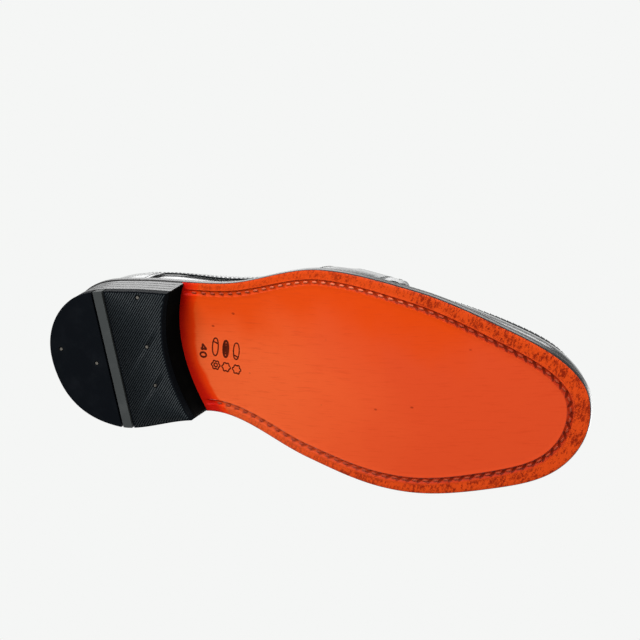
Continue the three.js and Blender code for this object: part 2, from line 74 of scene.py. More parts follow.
class Through:
    """A smooth curve through points, level at both ends and beyond them."""

    def __init__(self, points: Sequence[tuple[float, float]]) -> None:
        """Args:
            points: the curve's (x, y) points, with x rising.
        """
        self.x, self.y = np.array(points, float).T
        self.slope = np.zeros(len(self.x))
        self.slope[1:-1] = (self.y[2:] - self.y[:-2]) / (self.x[2:] - self.x[:-2])

    def __call__(self, x: Array | float) -> Array:
        """The curve's height at x.

        Args:
            x: places along the curve.

        Returns:
            The heights there.
        """
        at = np.clip(x, self.x[0], self.x[-1])
        i = np.clip(np.searchsorted(self.x, at, side="right") - 1, 0, len(self.x) - 2)
        width = self.x[i + 1] - self.x[i]
        t = (at - self.x[i]) / width
        h = t * t * (3 - 2 * t)
        rise = t * (1 - t) * ((1 - t) * self.slope[i] - t * self.slope[i + 1]) * width
        return self.y[i] * (1 - h) + self.y[i + 1] * h + rise


@dataclass(frozen=True)
class Shape:
    """The sizes in millimetres that the solid model was drawn from, and the surfaces that follow."""

    length: float = 283
    lateral: tuple[float, ...] = (24, 33, 37.5, 54.5, 51.5, 38, 22.5)
    medial: tuple[float, ...] = (27.5, 41.5, 31.5, 43, 50.5, 41.5, 26)
    lateral_radii: tuple[float, float] = (33, 34)
    medial_radii: tuple[float, float] = (31, 36.5)
    heel_height: float = 24
    ball: tuple[float, float] = (184, 200)
    toe_spring: float = 6
    breast: float = 72.8
    breast_concavity: float = 7.3
    breast_tilt: float = 8.7
    breast_half: float = 32
    outsole: float = 5
    gap: float = 0.3
    welt: float = 3
    swell: float = 0.03
    spine_heel: float = 32
    spine_toe: float = 50
    spine_soft: float = 6
    channel: Through = Through([(0.3, 5.4), (0.45, 6), (0.62, 7.6), (0.8, 9), (1, 9.6), (1.2, 8),
                                (1.38, 6.4), (1.55, 5.2), (1.75, 5)])
    extension: Through = Through([(0, 3.8), (0.25, 4), (0.45, 5.5), (0.6, 6.5), (0.72, 5), (0.82, 4.2),
                                  (1, 4.6), (1.38, 4.6), (1.55, 4), (1.75, 3.6), (2, 3.8)])
    ridge: Through = Through([(0, 110), (55, 113), (95, 112), (115, 105.5), (140, 90), (160, 77.5),
                              (185, 66.5), (210, 59.5), (235, 55), (260, 51), (283, 45)])
    topline: Through = Through([(0, 86), (0.12, 84.5), (0.24, 77), (0.34, 68), (0.42, 64.5),
                                (0.475, 70), (0.51, 76)])
    power: Through = Through([(0, 2), (0.3, 2), (0.5, 2.05), (0.62, 2.2), (0.76, 2.75), (1, 2.75)])
    apron: Through = Through([(0.5, 0.78), (0.66, 0.82), (0.82, 0.84), (1, 0.74)])

    def width(self, side: str, a: Array) -> Array:
        """The half width on one side.

        Args:
            side: "lateral" or "medial".
            a: places along the sole, from 0 at the heel to 1 at the toe.

        Returns:
            The distance from the long axis to the outline.
        """
        halves = self.lateral if side == "lateral" else self.medial
        heel, toe = self.lateral_radii if side == "lateral" else self.medial_radii
        count = len(halves) + 1
        inner = [w / math.sin(math.pi * (i + 1) / count) for i, w in enumerate(halves)]
        knots = np.array([math.sqrt(heel * self.length / 2), *inner, math.sqrt(toe * self.length / 2)])
        knots = np.concatenate([[knots[1]], knots, [knots[-2]]])
        at = np.clip(a, 0, 1) * count
        i = np.minimum(np.floor(at).astype(int), count - 1)
        t = at - i
        p0, p1, p2, p3 = knots[i], knots[i + 1], knots[i + 2], knots[i + 3]
        bend = (2 * p0 - 5 * p1 + 4 * p2 - p3) * t * t
        twist = (3 * p1 - p0 - 3 * p2 + p3) * t ** 3
        return np.sin(np.pi * np.clip(a, 0, 1)) * (2 * p1 + (p2 - p0) * t + bend + twist) / 2

    def station_x(self, a: Array) -> Array:
        """The distance from the heel back at station a."""
        return self.length * (1 - np.cos(np.pi * a)) / 2

    def station_of(self, x: Array | float) -> Array:
        """The station at a distance from the heel back."""
        return np.arccos(np.clip(1 - 2 * np.asarray(x, float) / self.length, -1, 1)) / np.pi

    def station(self, q: Array | float) -> Array:
        """The station of a place q round the outline."""
        turn = np.mod(q, 2)
        return np.where(turn <= 1, turn, 2 - turn)

    def outline(self, q: Array | float) -> Array:
        """Points on the sole's outline, for q from 0 at the heel round by the outer side to 2.

        Args:
            q: places round the outline.

        Returns:
            Points in plan, in millimetres.
        """
        a = self.station(q)
        y = np.where(np.mod(q, 2) <= 1, -self.width("lateral", a), self.width("medial", a))
        return np.stack([self.station_x(a), y], -1)

    def inset(self, q: Array | float, distance: Array | float) -> Array:
        """Points a distance inside the outline.

        Args:
            q: places round the outline.
            distance: how far inside, single or one for each place.

        Returns:
            Points in plan, in millimetres.
        """
        q = np.asarray(q, float)
        along = unit(self.outline(q + 1e-4) - self.outline(q - 1e-4))
        inward = np.stack([-along[..., 1], along[..., 0]], -1)
        return self.outline(q) + inward * np.asarray(distance, float)[..., None]

    def midline(self, x: Array | float) -> Array:
        """The middle of the sole's width at x."""
        a = self.station_of(x)
        return (self.width("medial", a) - self.width("lateral", a)) / 2

    def breast_line(self, y: Array | float) -> Array:
        """The heel's front edge at y."""
        share = np.asarray(y, float) / self.breast_half
        return self.breast - self.breast_concavity * (1 - share ** 2) + self.breast_tilt * share

    def breast_station(self, side: str) -> float:
        """The station at which the heel's front edge meets the outline on a side.

        Args:
            side: "lateral" or "medial".

        Returns:
            The station.
        """
        a = float(self.station_of(self.breast))
        sign = -1 if side == "lateral" else 1
        for _ in range(12):
            y = sign * float(self.width(side, np.array(a)))
            a = mix(a, float(self.station_of(self.breast_line(y))), 0.6)
        return a

    def bottom(self, x: Array | float) -> Array:
        """The height of the outsole's underside at x.

        Args:
            x: distances from the heel back.

        Returns:
            The heights.
        """
        x = np.asarray(x, float)
        seat = self.breast - self.breast_tilt
        shank = self.heel_height * (1 - smooth((x - seat) / (self.ball[0] - seat)))
        toe = self.toe_spring * (np.maximum(x - self.ball[1], 0) / (self.length - self.ball[1])) ** 2
        return np.where(x > self.ball[1], toe, shank)

    def welt_bottom(self, x: Array | float) -> Array:
        """The height of the welt's underside at x."""
        return self.bottom(x) + self.outsole + self.gap

    def welt_top(self, x: Array | float) -> Array:
        """The height of the welt's top at x."""
        return self.welt_bottom(x) + self.welt

    def spine(self, q: Array) -> Array:
        """The point under the ridge that a place on the outline is drawn towards.

        Args:
            q: places round the outline.

        Returns:
            Points in plan, in millimetres.
        """
        x = self.station_x(self.station(q))
        soft = self.spine_soft
        low = self.spine_heel + soft * np.log1p(np.exp((x - self.spine_heel) / soft))
        end = self.length - self.spine_toe
        at = end - soft * np.log1p(np.exp((end - low) / soft))
        return np.stack([at, self.midline(at)], -1)

    def last(self, q: Array, theta: Array) -> Array:
        """Points on the last, for theta from 0 at its foot to a quarter turn at the ridge.

        Args:
            q: places round the outline.
            theta: angles up the last.

        Returns:
            The points in millimetres.
        """
        power = self.power(self.station(q))
        k = np.sin(theta) ** (2 / power)
        g = np.maximum(0, np.cos(theta)) ** (2 / power) * (1 + self.swell * np.sin(np.pi * k))
        foot = self.inset(q, self.extension(np.mod(q, 2)))
        centre = self.spine(q)
        flat = mix(centre, foot, g[..., None])
        x = flat[..., 0]
        low = self.welt_top(x) + self.gap + 0.2
        return np.concatenate([flat, mix(low, self.ridge(x), k)[..., None]], -1)

    def normal(self, q: Array, theta: Array) -> Array:
        """Outward directions on the last.

        Args:
            q: places round the outline.
            theta: angles up the last.

        Returns:
            Unit directions.
        """
        step = 0.004
        at = np.clip(theta, step, 1.48)
        around = self.last(q + step, at) - self.last(q - step, at)
        upward = self.last(q, at + step) - self.last(q, at - step)
        side = unit(np.cross(around, upward))
        x = self.spine(q)[..., 0]
        slope = self.ridge(x + 0.5) - self.ridge(x - 0.5)
        top = unit(np.stack([-slope, np.zeros_like(x), np.ones_like(x)], -1))
        blend = smooth((theta - 1.3) / (np.pi / 2 - 1.3))[..., None]
        return unit(mix(side, top, blend))

    def upper(self, q: Array, theta: Array, offset: Array | float) -> Array:
        """Points at an offset outside the last.

        Args:
            q: places round the outline.
            theta: angles up the last.
            offset: how far outside, single or one for each point.

        Returns:
            The points in millimetres.
        """
        q, theta = np.broadcast_arrays(np.asarray(q, float), np.asarray(theta, float))
        push = np.broadcast_to(np.asarray(offset, float), q.shape)[..., None]
        return self.last(q, theta) + self.normal(q, theta) * push

    def theta_at_height(self, q: Array, z: Array) -> Array:
        """The angle at which the last reaches a height.

        Args:
            q: places round the outline.
            z: the heights.

        Returns:
            The angles.
        """
        q, z = np.broadcast_arrays(np.asarray(q, float), np.asarray(z, float))
        low, high = np.zeros(q.shape), np.full(q.shape, np.pi / 2)
        for _ in range(30):
            middle = (low + high) / 2
            above = self.last(q, middle)[..., 2] > z
            high, low = np.where(above, middle, high), np.where(above, low, middle)
        return low

    def topline_theta(self, q: Array, below: float = 0) -> Array:
        """The angle of the top edge, or of a line a height below it."""
        return self.theta_at_height(q, self.topline(self.station(q)) - below)

    def apron_theta(self, q: Array) -> Array:
        """The angle of the seam round the apron."""
        a = self.station(q)
        return np.arccos(self.apron(a) ** (self.power(a) / 2))

    def climb(self, q: Array, theta: Array, distance: float) -> Array:
        """A distance up the last, as an angle.

        Args:
            q: places round the outline.
            theta: angles up the last.
            distance: how far, in millimetres.

        Returns:
            The step in angle.
        """
        step = 0.01
        at = np.clip(theta, step, np.pi / 2 - step)
        run = np.linalg.norm(self.last(q, at + step) - self.last(q, at - step), axis=-1)
        return distance * 2 * step / run

    def across(self, x: Array, phi: Array, offset: Array | float) -> Array:
        """Points across the shoe at x, for phi from -1 at the outer foot to 1 at the inner foot."""
        a = self.station_of(x)
        return self.upper(np.where(phi <= 0, a, 2 - a), np.pi / 2 * (1 - np.abs(phi)), offset)

    def to_frame(self, points: Array) -> Array:
        """Millimetres from the heel back, turned into metres in the shared frame.

        Args:
            points: points in millimetres.

        Returns:
            The same points in metres.
        """
        a = np.linspace(0, 1, 401)
        shift = (self.width("lateral", a).max() - self.width("medial", a).max()) / 2
        return (np.asarray(points, float) + np.array([-self.length / 2, shift, 0])) * MM


SHAPE = Shape()


# ---- Meshes ----------------------------------------------------------------------------------------


def make_object(name: str, mesh: bpy.types.Mesh) -> bpy.types.Object:
    """Puts a mesh in the scene under a name, at the origin.

    Args:
        name: the piece's name.
        mesh: its mesh.

    Returns:
        The new object.
    """
    thing = bpy.data.objects.new(name, mesh)
    bpy.context.scene.collection.objects.link(thing)
    return thing


def mesh_object(name: str, points: Array, faces: Iterable[Sequence[int]],
                marks: dict[str, Array] | None = None, sharp_degrees: float = 40) -> bpy.types.Object:
    """Builds one smooth-shaded closed mesh whose faces point outwards.

    Args:
        name: the piece's name.
        points: corners in millimetres from the heel back.
        faces: each face's corner numbers.
        marks: one number per corner for each named attribute that a finish reads.
        sharp_degrees: edges that turn by more than this stay sharp.

    Returns:
        The new object.
    """
    mesh = bpy.data.meshes.new(name)
    mesh.from_pydata(SHAPE.to_frame(points).tolist(), [], [list(map(int, f)) for f in faces])
    for label, values in (marks or {}).items():
        layer = mesh.attributes.new(label, "FLOAT", "POINT")
        layer.data.foreach_set("value", np.asarray(values, np.float32).ravel())
    body = bmesh.new()
    body.from_mesh(mesh)
    bmesh.ops.remove_doubles(body, verts=body.verts, dist=2e-6)
    bmesh.ops.dissolve_degenerate(body, edges=body.edges, dist=1e-6)
    if body.calc_volume(signed=True) < 0:
        bmesh.ops.reverse_faces(body, faces=body.faces)
    body.to_mesh(mesh)
    body.free()
    mesh.shade_smooth()
    mesh.set_sharp_from_angle(angle=math.radians(sharp_degrees))
    return make_object(name, mesh)


def patch_arrays(front: Array, back: Array, meeting: bool = False) -> Skin:
    """Joins two grids of points into one closed skin.

    Args:
        front: outer points, columns by rows by three.
        back: inner points of the same form.
        meeting: the last row of each half meets the other half's, so it gets no wall.

    Returns:
        The corners and the faces.
    """
    columns, rows = front.shape[0] - 1, front.shape[1] - 1
    index = np.arange((columns + 1) * (rows + 1)).reshape(columns + 1, rows + 1)
    far = index + index.size
    quads = [np.stack([index[:-1, :-1], index[1:, :-1], index[1:, 1:], index[:-1, 1:]], -1).reshape(-1, 4),
             np.stack([far[:-1, :-1], far[:-1, 1:], far[1:, 1:], far[1:, :-1]], -1).reshape(-1, 4)]
    borders = [(index[1:, 0], index[:-1, 0], far[:-1, 0], far[1:, 0]),
               (index[0, :-1], index[0, 1:], far[0, 1:], far[0, :-1]),
               (index[-1, 1:], index[-1, :-1], far[-1, :-1], far[-1, 1:])]
    if not meeting:
        borders.append((index[:-1, -1], index[1:, -1], far[1:, -1], far[:-1, -1]))
    quads += [np.stack(corners, -1) for corners in borders]
    return np.concatenate([front.reshape(-1, 3), back.reshape(-1, 3)]), np.concatenate(quads).tolist()


def patch(name: str, columns: int, rows: int, front: Callable[[Array, Array], Array],
          back: Callable[[Array, Array], Array], meeting: bool = False) -> bpy.types.Object:
    """A sheet between two surfaces, each a function of two shares from 0 to 1.

    Args:
        name: the piece's name.
        columns: steps along it.
        rows: steps across it.
        front: the outer face.
        back: the inner face.
        meeting: the last row meets the other half's, so it gets no wall.

    Returns:
        The new object.
    """
    u, v = np.meshgrid(np.linspace(0, 1, columns + 1), np.linspace(0, 1, rows + 1), indexing="ij")
    return mesh_object(name, *patch_arrays(front(u, v), back(u, v), meeting))


def loft_arrays(sections: Array, caps: bool = True) -> Skin:
    """Joins closed sections, each a ring of points, into one skin.

    Args:
        sections: sections by ring points by three.
        caps: whether the first and last rings are closed with a face.

    Returns:
        The corners and the faces.
    """
    count, ring = sections.shape[:2]
    index = np.arange(count * ring).reshape(count, ring)
    after = np.roll(index, -1, axis=1)
    faces = np.stack([index[:-1], after[:-1], after[1:], index[1:]], -1).reshape(-1, 4).tolist()
    if caps:
        faces.append(index[0][::-1].tolist())
        faces.append(index[-1].tolist())
    return sections.reshape(-1, 3), faces


def cord(name: str, centres: Array, normals: Array, sideways: Array,
         radii: tuple[Array | float, Array | float], sides: int = 12) -> bpy.types.Object:
    """A round or oval cord along a path.

    Args:
        name: the piece's name.
        centres: points along the path.
        normals: the direction of the section's height at each point.
        sideways: the direction of the section's width at each point.
        radii: half the width and half the height, single or one for each point.
        sides: points round the section.

    Returns:
        The new object.
    """
    turn = np.linspace(0, 2 * np.pi, sides, endpoint=False)
    wide = np.broadcast_to(np.asarray(radii[0], float), len(centres))[:, None, None]
    tall = np.broadcast_to(np.asarray(radii[1], float), len(centres))[:, None, None]
    ring = (centres[:, None] + sideways[:, None] * np.cos(turn)[None, :, None] * wide
            + normals[:, None] * np.sin(turn)[None, :, None] * tall)
    return mesh_object(name, *loft_arrays(ring), sharp_degrees=70)


def soften(thing: bpy.types.Object, width: float, segments: int = 2, angle: float = 42) -> bpy.types.Object:
    """Rounds a piece's sharp edges by a width in millimetres.

    Args:
        thing: the piece.
        width: the rounding's width.
        segments: its steps.
        angle: only edges that turn by more than this many degrees are rounded.

    Returns:
        The same piece.
    """
    bevel = thing.modifiers.new("edge", "BEVEL")
    bevel.width = width * MM
    bevel.segments = segments
    bevel.limit_method = "ANGLE"
    bevel.angle_limit = math.radians(angle)
    bevel.harden_normals = True
    return thing


def baked(thing: bpy.types.Object) -> bpy.types.Object:
    """Turns a piece's modifiers into its own mesh.

    Args:
        thing: the piece.

    Returns:
        The same piece.
    """
    source = thing.evaluated_get(bpy.context.evaluated_depsgraph_get())
    mesh = bpy.data.meshes.new_from_object(source)
    mesh.name = thing.name
    thing.modifiers.clear()
    old, thing.data = thing.data, mesh
    bpy.data.meshes.remove(old)
    return thing


def carve(thing: bpy.types.Object, cutters: Sequence[bpy.types.Object]) -> bpy.types.Object:
    """Cuts other bodies out of a piece and deletes them.

    Args:
        thing: the piece.
        cutters: the bodies to cut out.

    Returns:
        The same piece.
    """
    for cutter in cutters:
        cut = thing.modifiers.new("cut", "BOOLEAN")
        cut.operation = "DIFFERENCE"
        cut.solver = "EXACT"
        cut.object = cutter
    baked(thing)
    thing.data.set_sharp_from_angle(angle=math.radians(35))
    for cutter in cutters:
        mesh = cutter.data
        bpy.data.objects.remove(cutter)
        bpy.data.meshes.remove(mesh)
    return thing


def prism(name: str, outline: Array, low: float | Callable, high: float | Callable) -> bpy.types.Object:
    """A flat-sided block on an outline, between two heights or height functions of x.

    Args:
        name: the piece's name.
        outline: the closed outline.
        low: the lower face's height.
        high: the upper face's height.

    Returns:
        The new object.
    """
    rings = []
    for level in (low, high):
        heights = level(outline[:, 0]) if callable(level) else np.full(len(outline), level)
        rings.append(np.column_stack([outline, heights]))
    return mesh_object(name, *loft_arrays(np.stack(rings)), sharp_degrees=30)


def run_of(line: Array) -> Array:
    """The length along a line from its start to each of its points."""
    return np.concatenate([[0], np.cumsum(np.linalg.norm(np.diff(line, axis=0), axis=1))])


def sample(at: Array, run: Array, values: Array) -> Array:
    """A path's values at given lengths along it."""
    return np.stack([np.interp(at, run, column) for column in values.T], -1)


def inside(points: Array, outline: Array) -> Array:
    """Which points lie inside a closed outline.

    Args:
        points: points in plan.
        outline: the closed outline.

    Returns:
        True for each point that lies inside.
    """
    x, y = points[:, None, 0], points[:, None, 1]
    ax, ay = outline[:, 0], outline[:, 1]
    bx, by = np.roll(ax, -1), np.roll(ay, -1)
    crosses = ((ay > y) != (by > y)) & (x < (bx - ax) * (y - ay) / (by - ay + 1e-12) + ax)
    return crosses.sum(axis=1) % 2 == 1


# ---- Geometry Nodes --------------------------------------------------------------------------------


class Field:
    """Builds one Geometry Nodes tree, one node at a time."""

    def __init__(self, name: str, sizes: dict[str, float]) -> None:
        """Args:
            name: the tree's name.
            sizes: its named inputs, in metres.
        """
        self.tree = bpy.data.node_groups.new(name, "GeometryNodeTree")
        face = self.tree.interface
        face.new_socket("Geometry", in_out="INPUT", socket_type="NodeSocketGeometry")
        for label, value in sizes.items():
            face.new_socket(label, in_out="INPUT", socket_type="NodeSocketFloat").default_value = value
        face.new_socket("Material", in_out="INPUT", socket_type="NodeSocketMaterial")
        face.new_socket("Geometry", in_out="OUTPUT", socket_type="NodeSocketGeometry")
        self.start = self.tree.nodes.new("NodeGroupInput")
        self.end = self.tree.nodes.new("NodeGroupOutput")

    def node(self, kind: str, settings: dict | None = None, **inputs: object) -> bpy.types.Node:
        """Adds a node.

        Args:
            kind: the node's type.
            settings: properties, set before the inputs.
            inputs: values or sockets, by socket name with underscores for blanks.

        Returns:
            The new node.
        """
        made = self.tree.nodes.new(kind)
        for key, value in (settings or {}).items():
            setattr(made, key, value)
        for key, value in inputs.items():
            socket = made.inputs[key.replace("_", " ")]
            if isinstance(value, bpy.types.NodeSocket):
                self.tree.links.new(value, socket)
            else:
                socket.default_value = value
        return made

    def close(self, last: bpy.types.NodeSocket) -> bpy.types.NodeTree:
        """Realizes, dresses and outputs the last geometry.

        Args:
            last: the geometry that the tree has made.

        Returns:
            The finished tree.
        """
        real = self.node("GeometryNodeRealizeInstances", Geometry=last)
        shaded = self.node("GeometryNodeSetShadeSmooth", Geometry=real.outputs[0])
        dressed = self.node("GeometryNodeSetMaterial", Geometry=shaded.outputs[0],
                            Material=self.start.outputs["Material"])
        self.tree.links.new(dressed.outputs[0], self.end.inputs[0])
        return self.tree


def stitch_tree() -> bpy.types.NodeTree:
    """One oval stitch on each point, along its run and standing on its up direction.

    Returns:
        The tree.
    """
    field = Field("stitches", {"Length": 2.2 * MM, "Width": 0.6 * MM, "Height": 0.5 * MM})
    run = field.node("GeometryNodeInputNamedAttribute", {"data_type": "FLOAT_VECTOR"}, Name="run")
    up = field.node("GeometryNodeInputNamedAttribute", {"data_type": "FLOAT_VECTOR"}, Name="up")
    along = field.node("FunctionNodeAlignRotationToVector", {"axis": "X"}, Vector=run.outputs["Attribute"])
    upright = field.node("FunctionNodeAlignRotationToVector", {"axis": "Z", "pivot_axis": "X"},
                         Rotation=along.outputs[0], Vector=up.outputs["Attribute"])
    oval = field.node("GeometryNodeMeshUVSphere", Segments=8, Rings=6, Radius=0.5)
    size = field.node("ShaderNodeCombineXYZ", X=field.start.outputs["Length"],
                      Y=field.start.outputs["Width"], Z=field.start.outputs["Height"])
    placed = field.node("GeometryNodeInstanceOnPoints", Points=field.start.outputs["Geometry"],
                        Instance=oval.outputs["Mesh"], Rotation=upright.outputs[0], Scale=size.outputs[0])
    return field.close(placed.outputs[0])


def rib_tree() -> bpy.types.NodeTree:
    """One straight rib on each point, as long as the point says.

    Returns:
        The tree.
    """
    field = Field("ribs", {"Width": 0.55 * MM, "Height": 0.5 * MM, "Turn": 0.0})
    reach = field.node("GeometryNodeInputNamedAttribute", {"data_type": "FLOAT"}, Name="reach")
    bar = field.node("GeometryNodeMeshCylinder", {"fill_type": "NGON"}, Vertices=6, Radius=0.5, Depth=1.0)
    laid = field.node("GeometryNodeTransform", Geometry=bar.outputs["Mesh"],
                      Rotation=(0.0, math.pi / 2, 0.0))
    size = field.node("ShaderNodeCombineXYZ", X=reach.outputs["Attribute"],
                      Y=field.start.outputs["Width"], Z=field.start.outputs["Height"])
    turn = field.node("ShaderNodeCombineXYZ", X=0.0, Y=0.0, Z=field.start.outputs["Turn"])
    placed = field.node("GeometryNodeInstanceOnPoints", Points=field.start.outputs["Geometry"],
                        Instance=laid.outputs[0], Rotation=turn.outputs[0], Scale=size.outputs[0])
    return field.close(placed.outputs[0])


def grow(name: str, tree: bpy.types.NodeTree, points: Array, vectors: dict[str, Array],
         numbers: dict[str, Array], sizes: dict[str, float], look: bpy.types.Material) -> bpy.types.Object:
    """Runs a tree on bare points and keeps the result as a plain mesh.

    Args:
        name: the piece's name.
        tree: the Geometry Nodes tree.
        points: places in millimetres from the heel back.
        vectors: a direction per point for each named attribute.
        numbers: a number per point for each named attribute.
        sizes: the tree's named inputs.
        look: the material.

    Returns:
        The new object.
    """
    mesh = bpy.data.meshes.new(name)
    mesh.from_pydata(SHAPE.to_frame(points).tolist(), [], [])
    for label, values in vectors.items():
        layer = mesh.attributes.new(label, "FLOAT_VECTOR", "POINT")
        layer.data.foreach_set("vector", np.asarray(values, np.float32).ravel())
    for label, values in numbers.items():
        layer = mesh.attributes.new(label, "FLOAT", "POINT")
        layer.data.foreach_set("value", np.asarray(values, np.float32).ravel())
    thing = make_object(name, mesh)
    grower = thing.modifiers.new("grow", "NODES")
    grower.node_group = tree
    for item in tree.interface.items_tree:
        if item.in_out == "INPUT" and item.name in sizes:
            grower[item.identifier] = float(sizes[item.name])
        if item.in_out == "INPUT" and item.name == "Material":
            grower[item.identifier] = look
    return baked(thing)


# ---- Materials -------------------------------------------------------------------------------------


class Signal:
    """A shader socket that takes part in sums."""

    def __init__(self, shader: "Shader", socket: bpy.types.NodeSocket) -> None:
        """Args:
            shader: the shader that the socket is in.
            socket: the output that carries the number.
        """
        self.shader = shader
        self.socket = socket

    def math(self, operation: str, other: "Signal | float" = 0.0, swap: bool = False) -> "Signal":
        """One Math node on this value and another."""
        pair = (other, self) if swap else (self, other)
        return self.shader.node("ShaderNodeMath", {"operation": operation}, *pair)

    def __add__(self, other: "Signal | float") -> "Signal":
        """The sum."""
        return self.math("ADD", other)

    def __sub__(self, other: "Signal | float") -> "Signal":
        """The difference."""
        return self.math("SUBTRACT", other)

    def __rsub__(self, other: float) -> "Signal":
        """The difference from a number."""
        return self.math("SUBTRACT", other, swap=True)

    def __mul__(self, other: "Signal | float") -> "Signal":
        """The product."""
        return self.math("MULTIPLY", other)

    __radd__ = __add__
    __rmul__ = __mul__

    def ramp(self, low: float, high: float, start: float = 0.0, end: float = 1.0) -> "Signal":
        """This value's place between low and high, smoothed, from start to end."""
        return self.shader.node("ShaderNodeMapRange", {"interpolation_type": "SMOOTHSTEP"},
                                self, low, high, start, end)


class Shader:
    """Builds one material on a Principled BSDF."""

    def __init__(self, name: str) -> None:
        """Args:
            name: the material's name.
        """
        self.material = bpy.data.materials.new(name)
        self.material.use_nodes = True
        self.tree = self.material.node_tree
        self.surface = self.tree.nodes["Principled BSDF"]

    def node(self, kind: str, settings: dict | None = None, *inputs: object, output: int | str = 0) -> Signal:
        """Adds a node.

        Args:
            kind: the node's type.
            settings: properties, set before the inputs.
            inputs: values, signals or None to leave a socket alone, in socket order.
            output: the output that the result carries.

        Returns:
            The chosen output.
        """
        made = self.tree.nodes.new(kind)
        for key, value in (settings or {}).items():
            setattr(made, key, value)
        for socket, value in zip([s for s in made.inputs if s.enabled], inputs):
            self.feed(socket, value)
        sockets = [s for s in made.outputs if s.enabled]
        return Signal(self, made.outputs[output] if isinstance(output, str) else sockets[output])

    def feed(self, socket: bpy.types.NodeSocket, value: object) -> None:
        """Sets a socket to a value, or links a signal to it."""
        if isinstance(value, Signal):
            self.tree.links.new(value.socket, socket)
        elif value is not None:
            socket.default_value = value

    def place(self, scale: tuple[float, float, float] = (1, 1, 1), turn: float = 0.0) -> Signal:
        """Object coordinates, turned about Z and then squeezed, so streaks lie along the turned X.

        Args:
            scale: the squeeze along each turned axis.
            turn: the turn in radians.

        Returns:
            The coordinates.
        """
        where = self.node("ShaderNodeTexCoord", output="Object")
        size = tuple(1 / share for share in scale)
        return self.node("ShaderNodeMapping", {"vector_type": "TEXTURE"}, where, None, (0.0, 0.0, turn), size)

    def noise(self, where: Signal, scale: float, detail: float = 3, rough: float = 0.55) -> Signal:
        """Soft noise with a scale in cycles a metre."""
        return self.node("ShaderNodeTexNoise", {"noise_dimensions": "3D"}, where, scale, detail, rough)

    def cells(self, where: Signal, scale: float) -> Signal:
        """The distance to the nearest of many scattered points."""
        return self.node("ShaderNodeTexVoronoi", {"feature": "F1"}, where, scale)

    def mark(self, label: str) -> Signal:
        """A number that the mesh carries."""
        return self.node("ShaderNodeAttribute", {"attribute_name": label}, output="Fac")

    def axis(self, letter: str) -> Signal:
        """One of the object coordinates, in metres."""
        where = self.node("ShaderNodeTexCoord", output="Object")
        return self.node("ShaderNodeSeparateXYZ", None, where, output=letter)

    def blend(self, share: Signal | float, low: Colour | Signal, high: Colour | Signal) -> Signal:
        """A colour between two, by a share.

        Args:
            share: the share of the second colour.
            low: the first colour.
            high: the second colour.

        Returns:
            The colour.
        """
        made = self.tree.nodes.new("ShaderNodeMix")
        made.data_type = "RGBA"
        for socket, value in ((made.inputs[0], share), (made.inputs[6], low), (made.inputs[7], high)):
            self.feed(socket, (*value, 1.0) if isinstance(value, tuple) else value)
        return Signal(self, made.outputs[2])

    def dress(self, colour: Signal | Colour, rough: Signal | float, height: Signal | None = None,
              depth: float = 0.1, coat: Signal | float = 0.0, **fixed: float) -> bpy.types.Material:
        """Feeds the surface.

        Args:
            colour: the base colour.
            rough: the roughness.
            height: relief, from 0 to 1.
            depth: the relief's height in millimetres.
            coat: the share of the clear coat.
            fixed: other sockets, by name with underscores for blanks, each the same all over.

        Returns:
            The finished material.
        """
        self.feed(self.surface.inputs["Base Color"], (*colour, 1.0) if isinstance(colour, tuple) else colour)
        self.feed(self.surface.inputs["Roughness"], rough)
        self.feed(self.surface.inputs["Coat Weight"], coat)
        for key, value in fixed.items():
            self.surface.inputs[key.replace("_", " ")].default_value = value
        if height is not None:
            bump = self.tree.nodes.new("ShaderNodeBump")
            bump.inputs["Distance"].default_value = depth * MM
            self.feed(bump.inputs["Height"], height)
            self.tree.links.new(bump.outputs[0], self.surface.inputs["Normal"])
        return self.material


@dataclass(frozen=True)
class PolishedCalf:
    """Glossy black box calf, with a cool sheen, fine pores and faint waves."""

    name: str = "black_calf"
    deep: Colour = (0.0028, 0.0048, 0.0056)
    sheen: Colour = (0.0075, 0.0125, 0.0140)
    gloss: float = 0.15
    pores: float = 1500
    waves: float = 38

    def material(self) -> bpy.types.Material:
        """Builds the finish.

        Returns:
            The material.
        """
        s = Shader(self.name)
        where = s.place()
        cloud = s.noise(where, 26, 2)
        pores = s.cells(where, self.pores)
        waves = s.noise(where, self.waves, 1)
        grain = s.noise(where, 420, 4)
        colour = s.blend(cloud.ramp(0.35, 0.7), self.deep, self.sheen)
        rough = self.gloss + grain * 0.09 + cloud * 0.05
        relief = pores.ramp(0.0, 0.6) * 0.16 + grain * 0.12 + waves * 0.72
        return s.dress(colour, rough, relief, 0.16, 0.55, Coat_Roughness=0.07,
                       Specular_IOR_Level=0.55)


